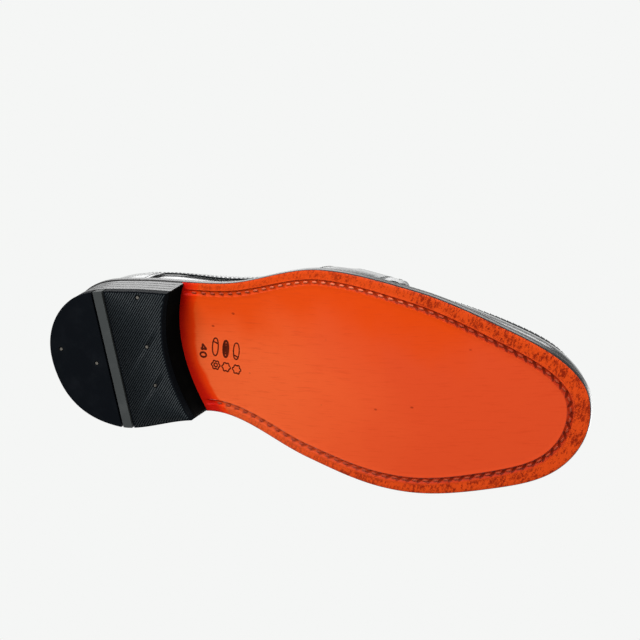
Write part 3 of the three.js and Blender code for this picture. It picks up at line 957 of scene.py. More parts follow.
@dataclass(frozen=True)
class SoleLeather:
    """Orange-red sole leather: lengthwise grain, a mottled border, a burnished heel end and black sides."""

    name: str = "sole_leather"
    body: Colour = (0.865, 0.086, 0.020)
    light: Colour = (1.0, 0.142, 0.034)
    rich: Colour = (0.89, 0.070, 0.0)
    wear_and_painted_highlight: Colour = (0.70, 0.044, 0.008)
    speck: Colour = (0.22, 0.010, 0.002)
    border: Colour = (0.84, 0.078, 0.006)
    border_dark: Colour = (0.27, 0.012, 0.0)
    burnish: Colour = (0.62, 0.0, 0.0)
    singe: Colour = (0.92, 0.042, 0.0)
    channel: Colour = (0.46, 0.024, 0.004)
    shadow: Colour = (0.10, 0.006, 0.001)
    ink: Colour = (0.007, 0.006, 0.006)
    grain_turn: float = -0.145

    def material(self) -> bpy.types.Material:
        """Builds the finish.

        Returns:
            The material.
        """
        s = Shader(self.name)
        streaks = s.noise(s.place((1, 14, 1), self.grain_turn), 80, 5, 0.62)
        fine = s.noise(s.place((1, 22, 1), self.grain_turn), 280, 4, 0.6)
        cloud = s.noise(s.place(), 15, 2)
        fibres = s.noise(s.place((0.5, 1.5, 1), 0.35), 1900, 4, 0.7)
        blots = s.noise(s.place((1.5, 0.6, 1), 0.3), 560, 4, 0.7)
        patches = s.noise(s.place(), 95, 2)
        specks = s.cells(s.place((0.6, 1, 1)), 88)
        lengthwise = s.axis("X")
        sideways = s.axis("Y")
        forward = lengthwise.ramp(-0.02, 0.115)
        waist = (lengthwise + (cloud - 0.5) * 0.09).ramp(-0.05, 0.07, 1.0, 0.0)
        outer = (sideways + (cloud - 0.5) * 0.06 + (patches - 0.5) * 0.008).ramp(-0.034, -0.004, 1.0, 0.0)
        tone = s.blend(waist, self.body, self.light)
        tone = s.blend(outer * 0.85, tone, self.rich)
        tone = s.blend(streaks.ramp(0.50, 0.78) * 0.40, tone, self.wear_and_painted_highlight)
        tone = s.blend(fine.ramp(0.54, 0.76) * 0.28, tone, self.border)
        tone = s.blend(specks.ramp(0.03, 0.07, 1.0, 0.0) * 0.6, tone, self.speck)
        ragged = s.mark("margin") + (blots - 0.5) * 3.0
        rim = ragged.ramp(-2.6, -0.6, 1.0, 0.0)
        dark = (blots * 0.6 + fibres * 0.4 + (patches - 0.5) * 0.30).ramp(0.47, 0.59)
        mottle = s.blend(dark, self.border, self.border_dark)
        tone = s.blend(rim * (0.92 - waist * 0.42), tone, mottle)
        groove = s.mark("groove").ramp(0.2, 0.9)
        tone = s.blend(groove * (forward * 0.45 + 0.40), tone, self.channel)
        across = s.mark("margin")
        along = ((s.mark("run") + across * 0.16 + 0.5).math("FRACT") - 0.5) * 5.0
        ring = along * along + across * across * 0.42
        tone = s.blend(ring.ramp(0.55, 1.5, 1.0, 0.0) * groove * (forward * 0.42 + 0.38), tone, self.shadow)
        heat = s.mark("burn") + (cloud - 0.5) * 3.0 + (patches - 0.5) * 4.0 + (fine - 0.5) * 2.0
        scorch = s.blend(heat.ramp(0.5, 7.5), self.burnish, self.singe)
        tone = s.blend(heat.ramp(6.6, 9.0, 1.0, 0.0) * 0.93, tone, scorch)
        side = s.mark("side")
        tone = s.blend(side.ramp(0.3, 0.7), tone, self.ink)
        rough = 0.46 + rim * 0.12 + (fine - 0.5) * 0.20 - side * 0.10
        relief = fine * 0.35 + fibres * rim * 0.75 + streaks * 0.25
        return s.dress(tone, rough, relief, 0.12, side * 0.6, Coat_Roughness=0.22, Specular_IOR_Level=0.11)


@dataclass(frozen=True)
class EdgeLeather:
    """Black burnished leather seen on its cut edge, in thin layers."""

    name: str = "edge_leather"
    deep: Colour = (0.0045, 0.0042, 0.0045)
    pale: Colour = (0.020, 0.019, 0.019)
    layers: float = 620
    gloss: float = 0.27

    def material(self) -> bpy.types.Material:
        """Builds the finish.

        Returns:
            The material.
        """
        s = Shader(self.name)
        lines = s.noise(s.place((0.04, 0.04, 1)), self.layers, 4, 0.7)
        dust = s.noise(s.place(), 240, 4)
        colour = s.blend(lines.ramp(0.48, 0.70), self.deep, self.pale)
        rough = self.gloss + lines * 0.16 + dust * 0.10
        return s.dress(colour, rough, lines * 0.75 + dust * 0.25, 0.16, 0.3, Coat_Roughness=0.16)


@dataclass(frozen=True)
class Rubber:
    """Moulded rubber with a fine dry grain and a little dust."""

    name: str
    deep: Colour
    pale: Colour
    rough: float = 0.66
    shine: float = 0.10

    def material(self) -> bpy.types.Material:
        """Builds the finish.

        Returns:
            The material.
        """
        s = Shader(self.name)
        dust = s.noise(s.place(), 55, 4, 0.7)
        grit = s.noise(s.place(), 1400, 3)
        scuffs = s.noise(s.place((1, 5, 1), 0.5), 180, 4, 0.65)
        colour = s.blend(dust.ramp(0.45, 0.8) * 0.7 + scuffs.ramp(0.62, 0.8) * 0.5, self.deep, self.pale)
        rough = self.rough + (scuffs - 0.5) * 0.22
        return s.dress(colour, rough, grit * 0.6 + scuffs * 0.4, 0.05, Specular_IOR_Level=self.shine)


@dataclass(frozen=True)
class Lining:
    """Matt black lining leather with a soft nap."""

    name: str = "lining_leather"
    deep: Colour = (0.006, 0.006, 0.006)
    pale: Colour = (0.020, 0.019, 0.018)

    def material(self) -> bpy.types.Material:
        """Builds the finish.

        Returns:
            The material.
        """
        s = Shader(self.name)
        nap = s.noise(s.place(), 700, 5, 0.65)
        cloud = s.noise(s.place(), 40, 3)
        pores = s.cells(s.place(), 900)
        colour = s.blend(cloud.ramp(0.35, 0.7) * 0.7 + nap * 0.3, self.deep, self.pale)
        return s.dress(colour, 0.5 + nap * 0.3, pores * 0.5 + nap * 0.5, 0.08, Sheen_Weight=0.15)


@dataclass(frozen=True)
class Thread:
    """Waxed twisted thread, with a painted highlight along the outer waist where a third colour is given."""

    name: str
    deep: Colour
    pale: Colour
    wear_and_painted_highlight: Colour | None = None

    def material(self) -> bpy.types.Material:
        """Builds the finish.

        Returns:
            The material.
        """
        s = Shader(self.name)
        twist = s.node("ShaderNodeTexWave", {"wave_type": "BANDS", "bands_direction": "DIAGONAL"},
                       s.place(), 1100, 1.5, 2)
        fuzz = s.noise(s.place(), 2600, 2)
        colour = s.blend(twist * 0.7 + fuzz * 0.3, self.deep, self.pale)
        # Painted highlight: the thread is made paler along the outer waist.
        if self.wear_and_painted_highlight:
            ahead = s.axis("X")
            waist = ahead.ramp(-0.06, -0.01) * ahead.ramp(0.03, 0.07, 1.0, 0.0)
            outer = s.axis("Y").ramp(-0.02, 0.0, 1.0, 0.0)
            colour = s.blend(waist * outer, colour, self.wear_and_painted_highlight)
        return s.dress(colour, 0.5 + fuzz * 0.2, twist, 0.06, Specular_IOR_Level=0.3)


@dataclass(frozen=True)
class Granular:
    """Pressed stuff in two tones: cork, fibre board."""

    name: str
    deep: Colour
    pale: Colour
    grain: float

    def material(self) -> bpy.types.Material:
        """Builds the finish.

        Returns:
            The material.
        """
        s = Shader(self.name)
        crumbs = s.cells(s.place(), self.grain)
        dust = s.noise(s.place(), self.grain * 2, 4)
        colour = s.blend(crumbs.ramp(0.1, 0.6) * 0.7 + dust * 0.3, self.deep, self.pale)
        return s.dress(colour, 0.8 + dust * 0.15, crumbs * 0.7 + dust * 0.3, 0.2)


@dataclass(frozen=True)
class Metal:
    """Drawn metal with fine scratches and a dull film."""

    name: str
    clean: Colour
    film: Colour
    rough: float

    def material(self) -> bpy.types.Material:
        """Builds the finish.

        Returns:
            The material.
        """
        s = Shader(self.name)
        scratches = s.noise(s.place((1, 12, 1)), 900, 3)
        film = s.noise(s.place(), 320, 3)
        colour = s.blend(film.ramp(0.4, 0.75), self.clean, self.film)
        return s.dress(colour, self.rough + scratches * 0.2, scratches, 0.03, Metallic=1.0)


class Slot(Enum):
    """The material slots."""

    CALF = "black_leather"
    EDGE = "edge_leather"
    SOLE = "sole_leather"
    LINING = "lining_leather"
    RUBBER = "rubber"
    GREY = "grey_rubber"
    CORK = "cork"
    BOARD = "fibre_board"
    STEEL = "steel"
    BRASS = "brass"
    BLACK_THREAD = "black_thread"
    BROWN_THREAD = "brown_thread"


FINISHES = {
    Slot.CALF: PolishedCalf(),
    Slot.EDGE: EdgeLeather(),
    Slot.SOLE: SoleLeather(),
    Slot.LINING: Lining(),
    Slot.RUBBER: Rubber("rubber", (0.0015, 0.0028, 0.0050), (0.007, 0.009, 0.012)),
    Slot.GREY: Rubber("grey_rubber", (0.064, 0.070, 0.070), (0.096, 0.102, 0.102), 0.5),
    Slot.CORK: Granular("cork", (0.16, 0.075, 0.03), (0.48, 0.29, 0.13), 420),
    Slot.BOARD: Granular("fibre_board", (0.22, 0.15, 0.09), (0.42, 0.32, 0.21), 900),
    Slot.STEEL: Metal("shank_steel", (0.45, 0.46, 0.47), (0.22, 0.22, 0.23), 0.3),
    Slot.BRASS: Metal("nail_heads", (0.34, 0.32, 0.28), (0.07, 0.065, 0.06), 0.5),
    Slot.BLACK_THREAD: Thread("black_thread", (0.004, 0.004, 0.005), (0.020, 0.022, 0.024)),
    # Painted highlight: the brown thread's third colour, painted along the outer waist.
    Slot.BROWN_THREAD: Thread("brown_thread", (0.30, 0.020, 0.004), (0.60, 0.080, 0.022),
                              (0.90, 0.19, 0.08)),
}


class Wardrobe:
    """Makes each finish once and dresses pieces and solid-model nodes in it."""

    def __init__(self) -> None:
        """Builds every material."""
        self.looks = {slot: finish.material() for slot, finish in FINISHES.items()}
        self.stitches = stitch_tree()
        self.ribs = rib_tree()

    def dress(self, thing: bpy.types.Object, slot: Slot, *nodes: str,
              look: bpy.types.Material | None = None) -> bpy.types.Object:
        """Gives a finished piece its material and body, and hides the solid-model nodes that it stands for.

        Args:
            thing: the piece.
            slot: its finish.
            nodes: the nodes that it stands for.
            look: a material of its own, in place of the slot's.

        Returns:
            The same piece.
        """
        thing.data.materials.clear()
        thing.data.materials.append(look or self.looks[slot])
        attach(thing, "root")
        if nodes:
            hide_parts(*nodes)
        LOG.info("%s: %d faces", thing.name, len(thing.data.polygons))
        return thing

    def keep(self, node: str, slot: Slot) -> None:
        """Gives a solid-model node a finish."""
        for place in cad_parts[node].material_slots:
            place.material = self.looks[slot]
        LOG.info("%s: kept", node)

    def sew(self, name: str, points: Array, up: Array, pitch: float, size: tuple[float, float, float],
            slot: Slot, crosswise: bool = False, exact: bool = False,
            nodes: Sequence[str] = ()) -> bpy.types.Object:
        """Sews a row of stitches along a path.

        Args:
            name: the row's name.
            points: the path in millimetres from the heel back.
            up: the direction that the stitches stand on at each point.
            pitch: from one stitch to the next.
            size: a stitch's length, width and height.
            slot: the thread.
            crosswise: whether each stitch lies across the path.
            exact: whether the pitch is kept as given, not stretched to fill the path.
            nodes: solid-model nodes that the row stands for.

        Returns:
            The row as one piece.
        """
        run = run_of(points)
        count = max(2, int(run[-1] / pitch))
        at = (np.arange(count) + 0.5) * (pitch if exact else run[-1] / count)
        place = sample(at, run, points)
        along = unit(sample(at + 0.3, run, points) - sample(at - 0.3, run, points))
        stand = sample(at, run, up)
        if crosswise:
            along = np.cross(stand, along)
        sizes = dict(zip(("Length", "Width", "Height"), (value * MM for value in size)))
        row = grow(name, self.stitches, place, {"run": along, "up": stand}, {}, sizes, self.looks[slot])
        return self.dress(row, slot, *nodes)


# ---- Heel ------------------------------------------------------------------------------------------


@dataclass
class Heel:
    """The stacked heel: rubber ground face in three pieces, nails and leather lifts."""

    wardrobe: Wardrobe
    taper: float = 0.6
    seat_inset: float = 0.6
    top_piece: float = 6
    lifts: int = 4
    bar_angle: float = math.radians(16)
    bar_x: float = 35
    bar_width: float = 4.9
    groove: float = 1
    tread: float = 0.35
    rib_pitch: float = 1.1
    rib_turn: float = math.radians(-62)
    nails: tuple[tuple[float, float], ...] = ((49, -29.5), (55.2, -4.4), (27.8, 8.2), (60.7, 15.4),
                                              (7.6, 3.4))
    nail_hole: float = 1.15
    facing: float = 0.12
    facing_root: float = 0.35
    far: float = 200

    def plan(self, z: float, extra: float = 0) -> Array:
        """The heel's outline at a height, less an extra margin.

        Args:
            z: the height.
            extra: the margin.

        Returns:
            The outline in plan.
        """
        lean = self.seat_inset + self.taper * (1 - z / SHAPE.heel_height) + extra
        q = np.linspace(SHAPE.breast_station("lateral"), -SHAPE.breast_station("medial"), 150)
        back = SHAPE.inset(q, lean)
        y = np.linspace(back[-1, 1], back[0, 1], 60)[1:-1]
        front = np.column_stack([SHAPE.breast_line(y) - extra, y])
        return np.concatenate([back, front])

    def along_bar(self, points: Array) -> Array:
        """How far points lie in front of the bar's middle line, square to it."""
        ahead = points[:, 0] - self.bar_x
        return ahead * math.cos(self.bar_angle) - points[:, 1] * math.sin(self.bar_angle)

    def clip(self, outline: Array, low: float, high: float) -> Array:
        """The stretch of an outline between two distances from the bar's middle line.

        Args:
            outline: the closed outline.
            low: the rear limit.
            high: the front limit.

        Returns:
            The stretch as a closed outline.
        """
        for limit, keep_above in ((low, True), (high, False)):
            side = self.along_bar(outline) - limit
            side = side if keep_above else -side
            kept = []
            for i in range(len(outline)):
                j = (i + 1) % len(outline)
                if side[i] >= 0:
                    kept.append(outline[i])
                if side[i] * side[j] < 0:
                    kept.append(mix(outline[i], outline[j], side[i] / (side[i] - side[j])))
            outline = np.array(kept)
        return outline

    def hole(self, x: float, y: float) -> bpy.types.Object:
        """A round cutter for a nail.

        Args:
            x: the nail's distance from the heel back.
            y: its distance from the long axis.

        Returns:
            The cutter.
        """
        turn = np.linspace(0, 2 * np.pi, 20, endpoint=False)
        ring = np.column_stack([x + self.nail_hole * np.cos(turn), y + self.nail_hole * np.sin(turn)])
        return prism("hole", ring, -2, self.top_piece - 0.5)

    def slice(self, name: str, low: float, high: float, bottom: float, slot: Slot, node: str) -> None:
        """One of the ground face's three pieces, between two distances from the bar.

        Args:
            name: the piece's name.
            low: the rear limit.
            high: the front limit.
            bottom: its underside's height.
            slot: its finish.
            node: the solid-model node that it stands for.
        """
        block = prism(name, self.clip(self.plan(0), low, high), bottom, self.top_piece)
        places = [n for n in self.nails if low < self.along_bar(np.array([n]))[0] < high]
        if places:
            block = carve(block, [self.hole(*place) for place in places])
        self.wardrobe.dress(soften(block, 0.25), slot, node)

    def ribs(self) -> None:
        """Fine slanting ribs on the front part of the ground face, clear of the nails."""
        half = self.bar_width / 2 + self.groove
        area = self.clip(self.plan(0, 0.7), half + 0.6, self.far)
        run = np.array([math.cos(self.rib_turn), math.sin(self.rib_turn)])
        square = np.array([-run[1], run[0]])
        middle = area.mean(axis=0)
        reach = np.arange(-60, 60, 0.2)
        places, lengths = [], []
        for step in np.arange(-60, 60, self.rib_pitch):
            line = middle + square * step + run * reach[:, None]
            kept = inside(line, area) & ~self.corner(line)
            for x, y in self.nails:
                kept &= np.hypot(line[:, 0] - x, line[:, 1] - y) > self.nail_hole + 0.15
            edges = np.flatnonzero(np.diff(np.concatenate([[0], kept.astype(int), [0]])))
            for start, stop in zip(edges[::2], edges[1::2]):
                if stop - start > 5:
                    ends = line[start], line[stop - 1]
                    places.append([*(ends[0] + ends[1]) / 2, self.tread])
                    lengths.append(np.linalg.norm(ends[1] - ends[0]) * MM)
        sizes = {"Width": 0.66 * MM, "Height": 2 * self.tread * MM, "Turn": self.rib_turn}
        # Painted highlight: the ribs get a paler copy of the rubber than the ground face between them.
        look = Rubber("ribbed_rubber_painted_highlight", (0.024, 0.031, 0.035), (0.036, 0.043, 0.047), 0.55, 0.3).material()
        tread = grow("heel_ribs", self.wardrobe.ribs, np.array(places), {}, {"reach": np.array(lengths)},
                     sizes, look)
        self.wardrobe.dress(tread, Slot.RUBBER, look=look)

    def corner(self, points: Array) -> Array:
        """Which points lie in the smooth inner front corner."""
        return points[:, 0] * 0.62 + points[:, 1] * 0.78 > 74.5

    def lift_span(self, i: int) -> tuple[float, float]:
        """The heights of a lift's two faces, with a thin joint to the next."""
        pitch = (SHAPE.heel_height - self.top_piece) / self.lifts
        low = self.top_piece + SHAPE.gap + i * pitch - 0.12
        return low, low + pitch - SHAPE.gap + 0.2

    def seat(self, x: Array) -> Array:
        """The height of the top lift's upper face, just clear of the outsole."""
        return np.minimum(self.lift_span(self.lifts - 1)[1], SHAPE.bottom(x) - 0.05)

    def breast_cover(self) -> None:
        """A thin facing over the front of the lifts, black with painted shade."""
        corners = np.array([SHAPE.breast_station("lateral"), -SHAPE.breast_station("medial")])
        low, high = SHAPE.inset(corners, self.seat_inset + self.taper + self.facing_root)[:, 1]

        def face(u: Array, v: Array, ahead: float) -> Array:
            """Points on the facing, a distance in front of the breast.

            Args:
                u: shares across the heel.
                v: shares up it.
                ahead: the distance in front.

            Returns:
                The points in millimetres.
            """
            y = mix(low, high, u)
            z = mix(self.top_piece + 0.1, SHAPE.heel_height - 0.05, v)
            return np.stack([SHAPE.breast_line(y) + ahead, y, z], -1)

        cover = patch("breast_facing", 60, 10, lambda u, v: face(u, v, self.facing),
                      lambda u, v: face(u, v, -self.facing_root))
        # Painted shade: near-black, darker than the edge leather, for the shade on the heel's front.
        look = Rubber("breast_black_painted_shade", (0.0006, 0.0005, 0.0005), (0.004, 0.0034, 0.0032), 0.7, 0.05).material()
        self.wardrobe.dress(cover, Slot.EDGE, look=look)

    def build(self) -> None:
        """Makes the whole heel."""
        half = self.bar_width / 2
        self.slice("heel_rear_rubber", -self.far, -half - self.groove, 0.0, Slot.RUBBER, "heel_top_rear")
        self.slice("heel_bar_rubber", -half, half, 0.05, Slot.GREY, "heel_top_bar")
        self.slice("heel_front_rubber", half + self.groove, self.far, self.tread, Slot.RUBBER,
                   "heel_top_front")
        self.ribs()
        self.breast_cover()
        for i in range(len(self.nails)):
            self.wardrobe.keep(f"heel_nail_{i + 1}", Slot.BRASS)
        for i in range(self.lifts):
            low, high = self.lift_span(i)
            top = self.seat if i == self.lifts - 1 else high
            lift = prism(f"heel_lift_{i + 1}_leather", self.plan(low), low, top)
            self.wardrobe.dress(soften(lift, 0.22), Slot.EDGE, f"heel_lift_{i + 1}")


# ---- Sole ------------------------------------------------------------------------------------------


@dataclass
class Sole:
    """Outsole with its stitched channel and stamp, welt, heel rand and the layers inside."""

    wardrobe: Wardrobe
    stations: int = 260
    channel_width: float = 3.2
    channel_depth: float = 0.9
    edge_round: float = 0.9
    stitch_pitch: float = 5.3
    stitch: tuple[float, float, float] = (3.0, 1.2, 1.0)
    welt_pitch: float = 3.4
    welt_stitch: tuple[float, float, float] = (2.7, 0.9, 0.75)
    welt_setback: float = 0.5
    stack: float = 4.0
    burn_spread: float = 4.0
    insole: float = 2.5
    sock: float = 1.2
    cushion: float = 1.3
    cushion_end: float = 78

    def channel_at(self, q: Array) -> Array:
        """The stitch channel's distance from the edge, the same from both sides at the heel."""
        even = smooth(SHAPE.station(q) / 0.25)
        return mix(5.2, SHAPE.channel(np.mod(q, 2)), even)

    def channel_strength(self, q: Array) -> Array:
        """1 from breast to breast round the toe, and 0 under the heel.

        Args:
            q: places round the outline.

        Returns:
            The strengths.
        """
        turn = np.mod(q, 2)
        start, end = SHAPE.breast_station("lateral"), 2 - SHAPE.breast_station("medial")
        return smooth((turn - start) / 0.004) * smooth((end - turn) / 0.004)

    def half_section(self, q: Array) -> tuple[list[Array], list[Array], list[Array]]:
        """Rows from the top of the side wall down round the edge and in past the channel.

        Args:
            q: places round the outline.

        Returns:
            For each row, the inset, the height above the underside, and the side mark.
        """
        c, half, r = self.channel_at(q), self.channel_width / 2, self.edge_round
        strength = self.channel_strength(q)
        ones = np.ones_like(q)
        rows = [(0.35, SHAPE.outsole, 1), (0.05, SHAPE.outsole - 0.3, 1), (0.0, SHAPE.outsole * 0.66, 1),
                (0.0, SHAPE.outsole * 0.33, 1)]
        rows += [(r * (1 - math.cos(t)), r * (1 - math.sin(t)), side)
                 for t, side in ((0.0, 1), (0.4, 1.0), (0.8, 0.55), (1.2, 0.0))]
        d = [ones * row[0] for row in rows]
        h = [ones * row[1] for row in rows]
        side = [ones * row[2] for row in rows]
        for share in (0.2, 0.4, 0.6, 0.8, 1.0):
            d.append(mix(1.3, c - half - 0.5, share))
            h.append(0 * ones)
            side.append(0 * ones)
        for step in (-1.0, -0.82, -0.6, -0.3, 0, 0.3, 0.6, 0.82, 1.0):
            d.append(c + step * half)
            h.append(self.channel_depth * strength * (1 - step ** 4) - 0.12 * strength * (abs(step) == 1.0))
            side.append(0 * ones)
        for extra in (0.5, 1.2, 2.2):
            d.append(c + half + extra)
            h.append(-0.10 * strength * (extra < 1.0) * ones)
            side.append(0 * ones)
        return d, h, side

    def outsole(self) -> None:
        """The outsole as one closed skin that carries its own colour marks."""
        a = np.linspace(0, 1, self.stations)
        rings, marks = [], {"margin": [], "groove": [], "burn": [], "side": [], "run": []}
        zero = np.zeros_like(a)

        def add_row(flat: Array, height: Array, side: Array, margin: Array, groove: Array,
                    run: Array) -> None:
            """Adds one row of points from heel to toe.

            Args:
                flat: its points in plan.
                height: their heights above the underside.
                side: the share of black.
                margin: the distance inwards from the channel.
                groove: the share of the channel.
                run: the length along the channel.
            """
            x, y = flat[:, 0], flat[:, 1]
            burn = x - SHAPE.breast_line(y)
            rings.append(np.column_stack([flat, SHAPE.bottom(x) + height]))
            marks["side"].append(np.maximum(side, smooth(-burn / 1.5)))
            marks["margin"].append(margin)
            marks["groove"].append(groove)
            marks["burn"].append(burn - self.burn_spread * (np.maximum(y, 0) / 24) ** 2)
            marks["run"].append(run / self.stitch_pitch)

        halves = []
        for q in (a, 2 - a):
            d, h, side = self.half_section(q)
            strength, c = self.channel_strength(q), self.channel_at(q)
            run = self.run_from_toe(q)
            halves.append([(SHAPE.inset(q, d[i]), h[i], side[i], d[i] - c,
                            strength * smooth(1.5 - np.abs(d[i] - c) / (self.channel_width / 2)), run)
                           for i in range(len(d))])
        for row in halves[0]:
            add_row(*row)
        inner = [half[-1][0] for half in halves]
        for share in np.linspace(0, 1, 42)[1:-1]:
            add_row(mix(inner[0], inner[1], share), zero, zero, zero + 6, zero, zero)
        for row in reversed(halves[1]):
            add_row(*row)
        tops = [half[0][0] for half in halves]
        for share in np.linspace(1, 0, 10)[1:-1]:
            add_row(mix(tops[0], tops[1], share), zero + SHAPE.outsole, zero + 1, zero + 6, zero, zero)
        points, faces = loft_arrays(np.stack(rings, axis=1), caps=False)
        flat_marks = {label: np.stack(rows, axis=1) for label, rows in marks.items()}
        body = mesh_object("outsole_leather", points, faces, flat_marks, sharp_degrees=60)
        self.wardrobe.dress(body, Slot.SOLE, "outsole")
        body.visible_diffuse = body.visible_glossy = False

    def run_from_toe(self, q: Array) -> Array:
        """The length along the channel from the toe to each of a row of places.

        Args:
            q: places round the outline.

        Returns:
            The lengths.
        """
        line = SHAPE.inset(q, self.channel_at(q))
        run = run_of(line)
        return run[-1] - run

    def path(self, start: float, end: float, distance: Callable, height: Callable, count: int = 900) -> Array:
        """A line that follows the outline at an inset and a height.

        Args:
            start: where it starts round the outline.
            end: where it ends.
            distance: its inset at q.
            height: its height at x.
            count: its number of points.

        Returns:
            The points in millimetres.
        """
        q = np.linspace(start, end, count)
        flat = SHAPE.inset(q, distance(q))
        return np.column_stack([flat, height(flat[:, 0])])

    def band(self, name: str, start: float, end: float, count: int, slot: Slot, node: str) -> None:
        """The welt, or the rand round the heel: a strip with rounded outer corners.

        Args:
            name: the piece's name.
            start: where it starts round the outline.
            end: where it ends.
            count: its number of sections.
            slot: its finish.
            node: the solid-model node that it stands for.
        """
        q = np.linspace(start, end, count)
        outer = self.welt_setback
        inner = SHAPE.extension(np.mod(q, 2)) + self.stack + SHAPE.gap + 1
        low, high, r = 0.0, SHAPE.welt, 0.7
        rows = [(outer + r, low), (outer + r * 0.3, low + r * 0.3), (outer, low + r),
                (outer, high - r), (outer + r * 0.3, high - r * 0.3), (outer + r, high)]
        sections = []
        for inset, rise in rows:
            flat = SHAPE.inset(q, np.full_like(q, inset))
            sections.append(np.column_stack([flat, SHAPE.welt_bottom(flat[:, 0]) + rise]))
        for share, rise in ((0.45, high), (1, high), (1, low)):
            flat = SHAPE.inset(q, mix(outer + r, inner, share))
            sections.append(np.column_stack([flat, SHAPE.welt_bottom(flat[:, 0]) + rise]))
        strip = mesh_object(name, *loft_arrays(np.stack(sections, axis=1)), sharp_degrees=50)
        self.wardrobe.dress(strip, slot, node)

    def slab(self, name: str, inset: float, low: Callable, high: Callable, end: float, slot: Slot,
             node: str) -> None:
        """A soft sheet inside the shoe, with its edge rolled down.

        Args:
            name: the piece's name.
            inset: its margin inside the upper's lining.
            low: its lower face's height at x.
            high: its upper face's height at x.
            end: the station at which it ends.
            slot: its finish.
            node: the solid-model node that it stands for.
        """
        def surface(u: Array, v: Array, height: Callable, crown: float) -> Array:
            """Points on one face, at shares along and across it, with a height rule and a crown.

            Args:
                u: shares along the piece.
                v: shares across the piece.
                height: the face's height at x.
                crown: how far its edge rolls down.

            Returns:
                The points in millimetres.
            """
            a = u * end
            margin = SHAPE.extension(a) + self.stack + SHAPE.gap + inset
            other = SHAPE.extension(2 - a) + self.stack + SHAPE.gap + inset
            flat = mix(SHAPE.inset(a, margin), SHAPE.inset(2 - a, other), v[..., None])
            dome = crown * (1 - (2 * v - 1) ** 8) - crown
            return np.concatenate([flat, (height(flat[..., 0]) + dome)[..., None]], -1)

        sheet = patch(name, 90, 28, lambda u, v: surface(u, v, high, 0.5),
                      lambda u, v: surface(u, v, low, 0.0))
        self.wardrobe.dress(soften(sheet, 0.3), slot, node)

    def stamp(self) -> None:
        """The size number and three plain pairs of marks, pressed dark into the waist."""
        turn = np.linspace(0, 2 * np.pi, 49)

        def ring(x: float, y: float, rx: float, ry: float, pinch: float = 0.0, lobes: int = 4) -> Array:
            """A closed rounded mark, pinched into lobes where asked.

            Args:
                x: its middle's distance from the heel back.
                y: its middle's distance from the long axis.
                rx: half its length.
                ry: half its width.
                pinch: how deep the lobes are.
                lobes: how many there are.

            Returns:
                The closed line.
            """
            size = 1 + pinch * np.cos(lobes * turn)
            return np.column_stack([x + rx * size * np.cos(turn), y + ry * size * np.sin(turn)])

        bold, thick_line, thin_line, proud = 2, 0.55, 0.40, 0.10
        strokes = [np.array([(75.9, -1.1), (79.3, -1.1), (76.9, -3.6), (76.9, -0.2)]),
                   ring(77.6, 2.1, 1.75, 1.25)]
        for i, x in enumerate((84.4, 90.6, 96.9)):
            foot = ring(x, -3.3, 1.45, 5.6 - 0.2 * i, 0.17, 2)
            strokes += [foot, ring(x + 0.7, 6.3, 2.3, 2.2, 0.13, 6)]
        strokes += [np.array([(83.2, -6.0), (85.8, -5.2)]), np.array([(95.6, -1.0), (98.3, -0.2)])]
        strokes += [ring(90.6, -3.3, 0.95 - 0.42 * i, 4.6 - 1.4 * i, 0.12, 2) for i in range(3)]
        strokes.append(ring(85.1, 6.3, 1.0, 1.0))
        points, faces, start = [], [], 0
        spin = np.linspace(0, 2 * np.pi, 6, endpoint=False)
        for number, stroke in enumerate(strokes):
            thick = thick_line if number < bold else thin_line
            run = run_of(stroke)
            at = np.linspace(0, run[-1], max(6, int(run[-1] / 0.35)))
            flat = sample(at, run, stroke)
            line = np.column_stack([flat, SHAPE.bottom(flat[:, 0]) - 0.02])
            ahead = unit(np.gradient(line, axis=0))
            tall = np.tile([0.0, 0.0, 1.0], (len(line), 1))
            wide = np.cross(ahead, tall)
            tube = (line[:, None] + wide[:, None] * np.cos(spin)[None, :, None] * thick
                    + tall[:, None] * np.sin(spin)[None, :, None] * proud)
            corners, quads = loft_arrays(tube)
            points.append(corners)
            faces += [[start + i for i in face] for face in quads]
            start += len(corners)
        marks = mesh_object("sole_stamp", np.concatenate(points), faces)
        look = Rubber("stamped_leather", (0.085, 0.010, 0.003), (0.20, 0.022, 0.006), 0.55).material()
        self.wardrobe.dress(marks, Slot.SOLE, look=look)
        marks.visible_diffuse = marks.visible_glossy = False

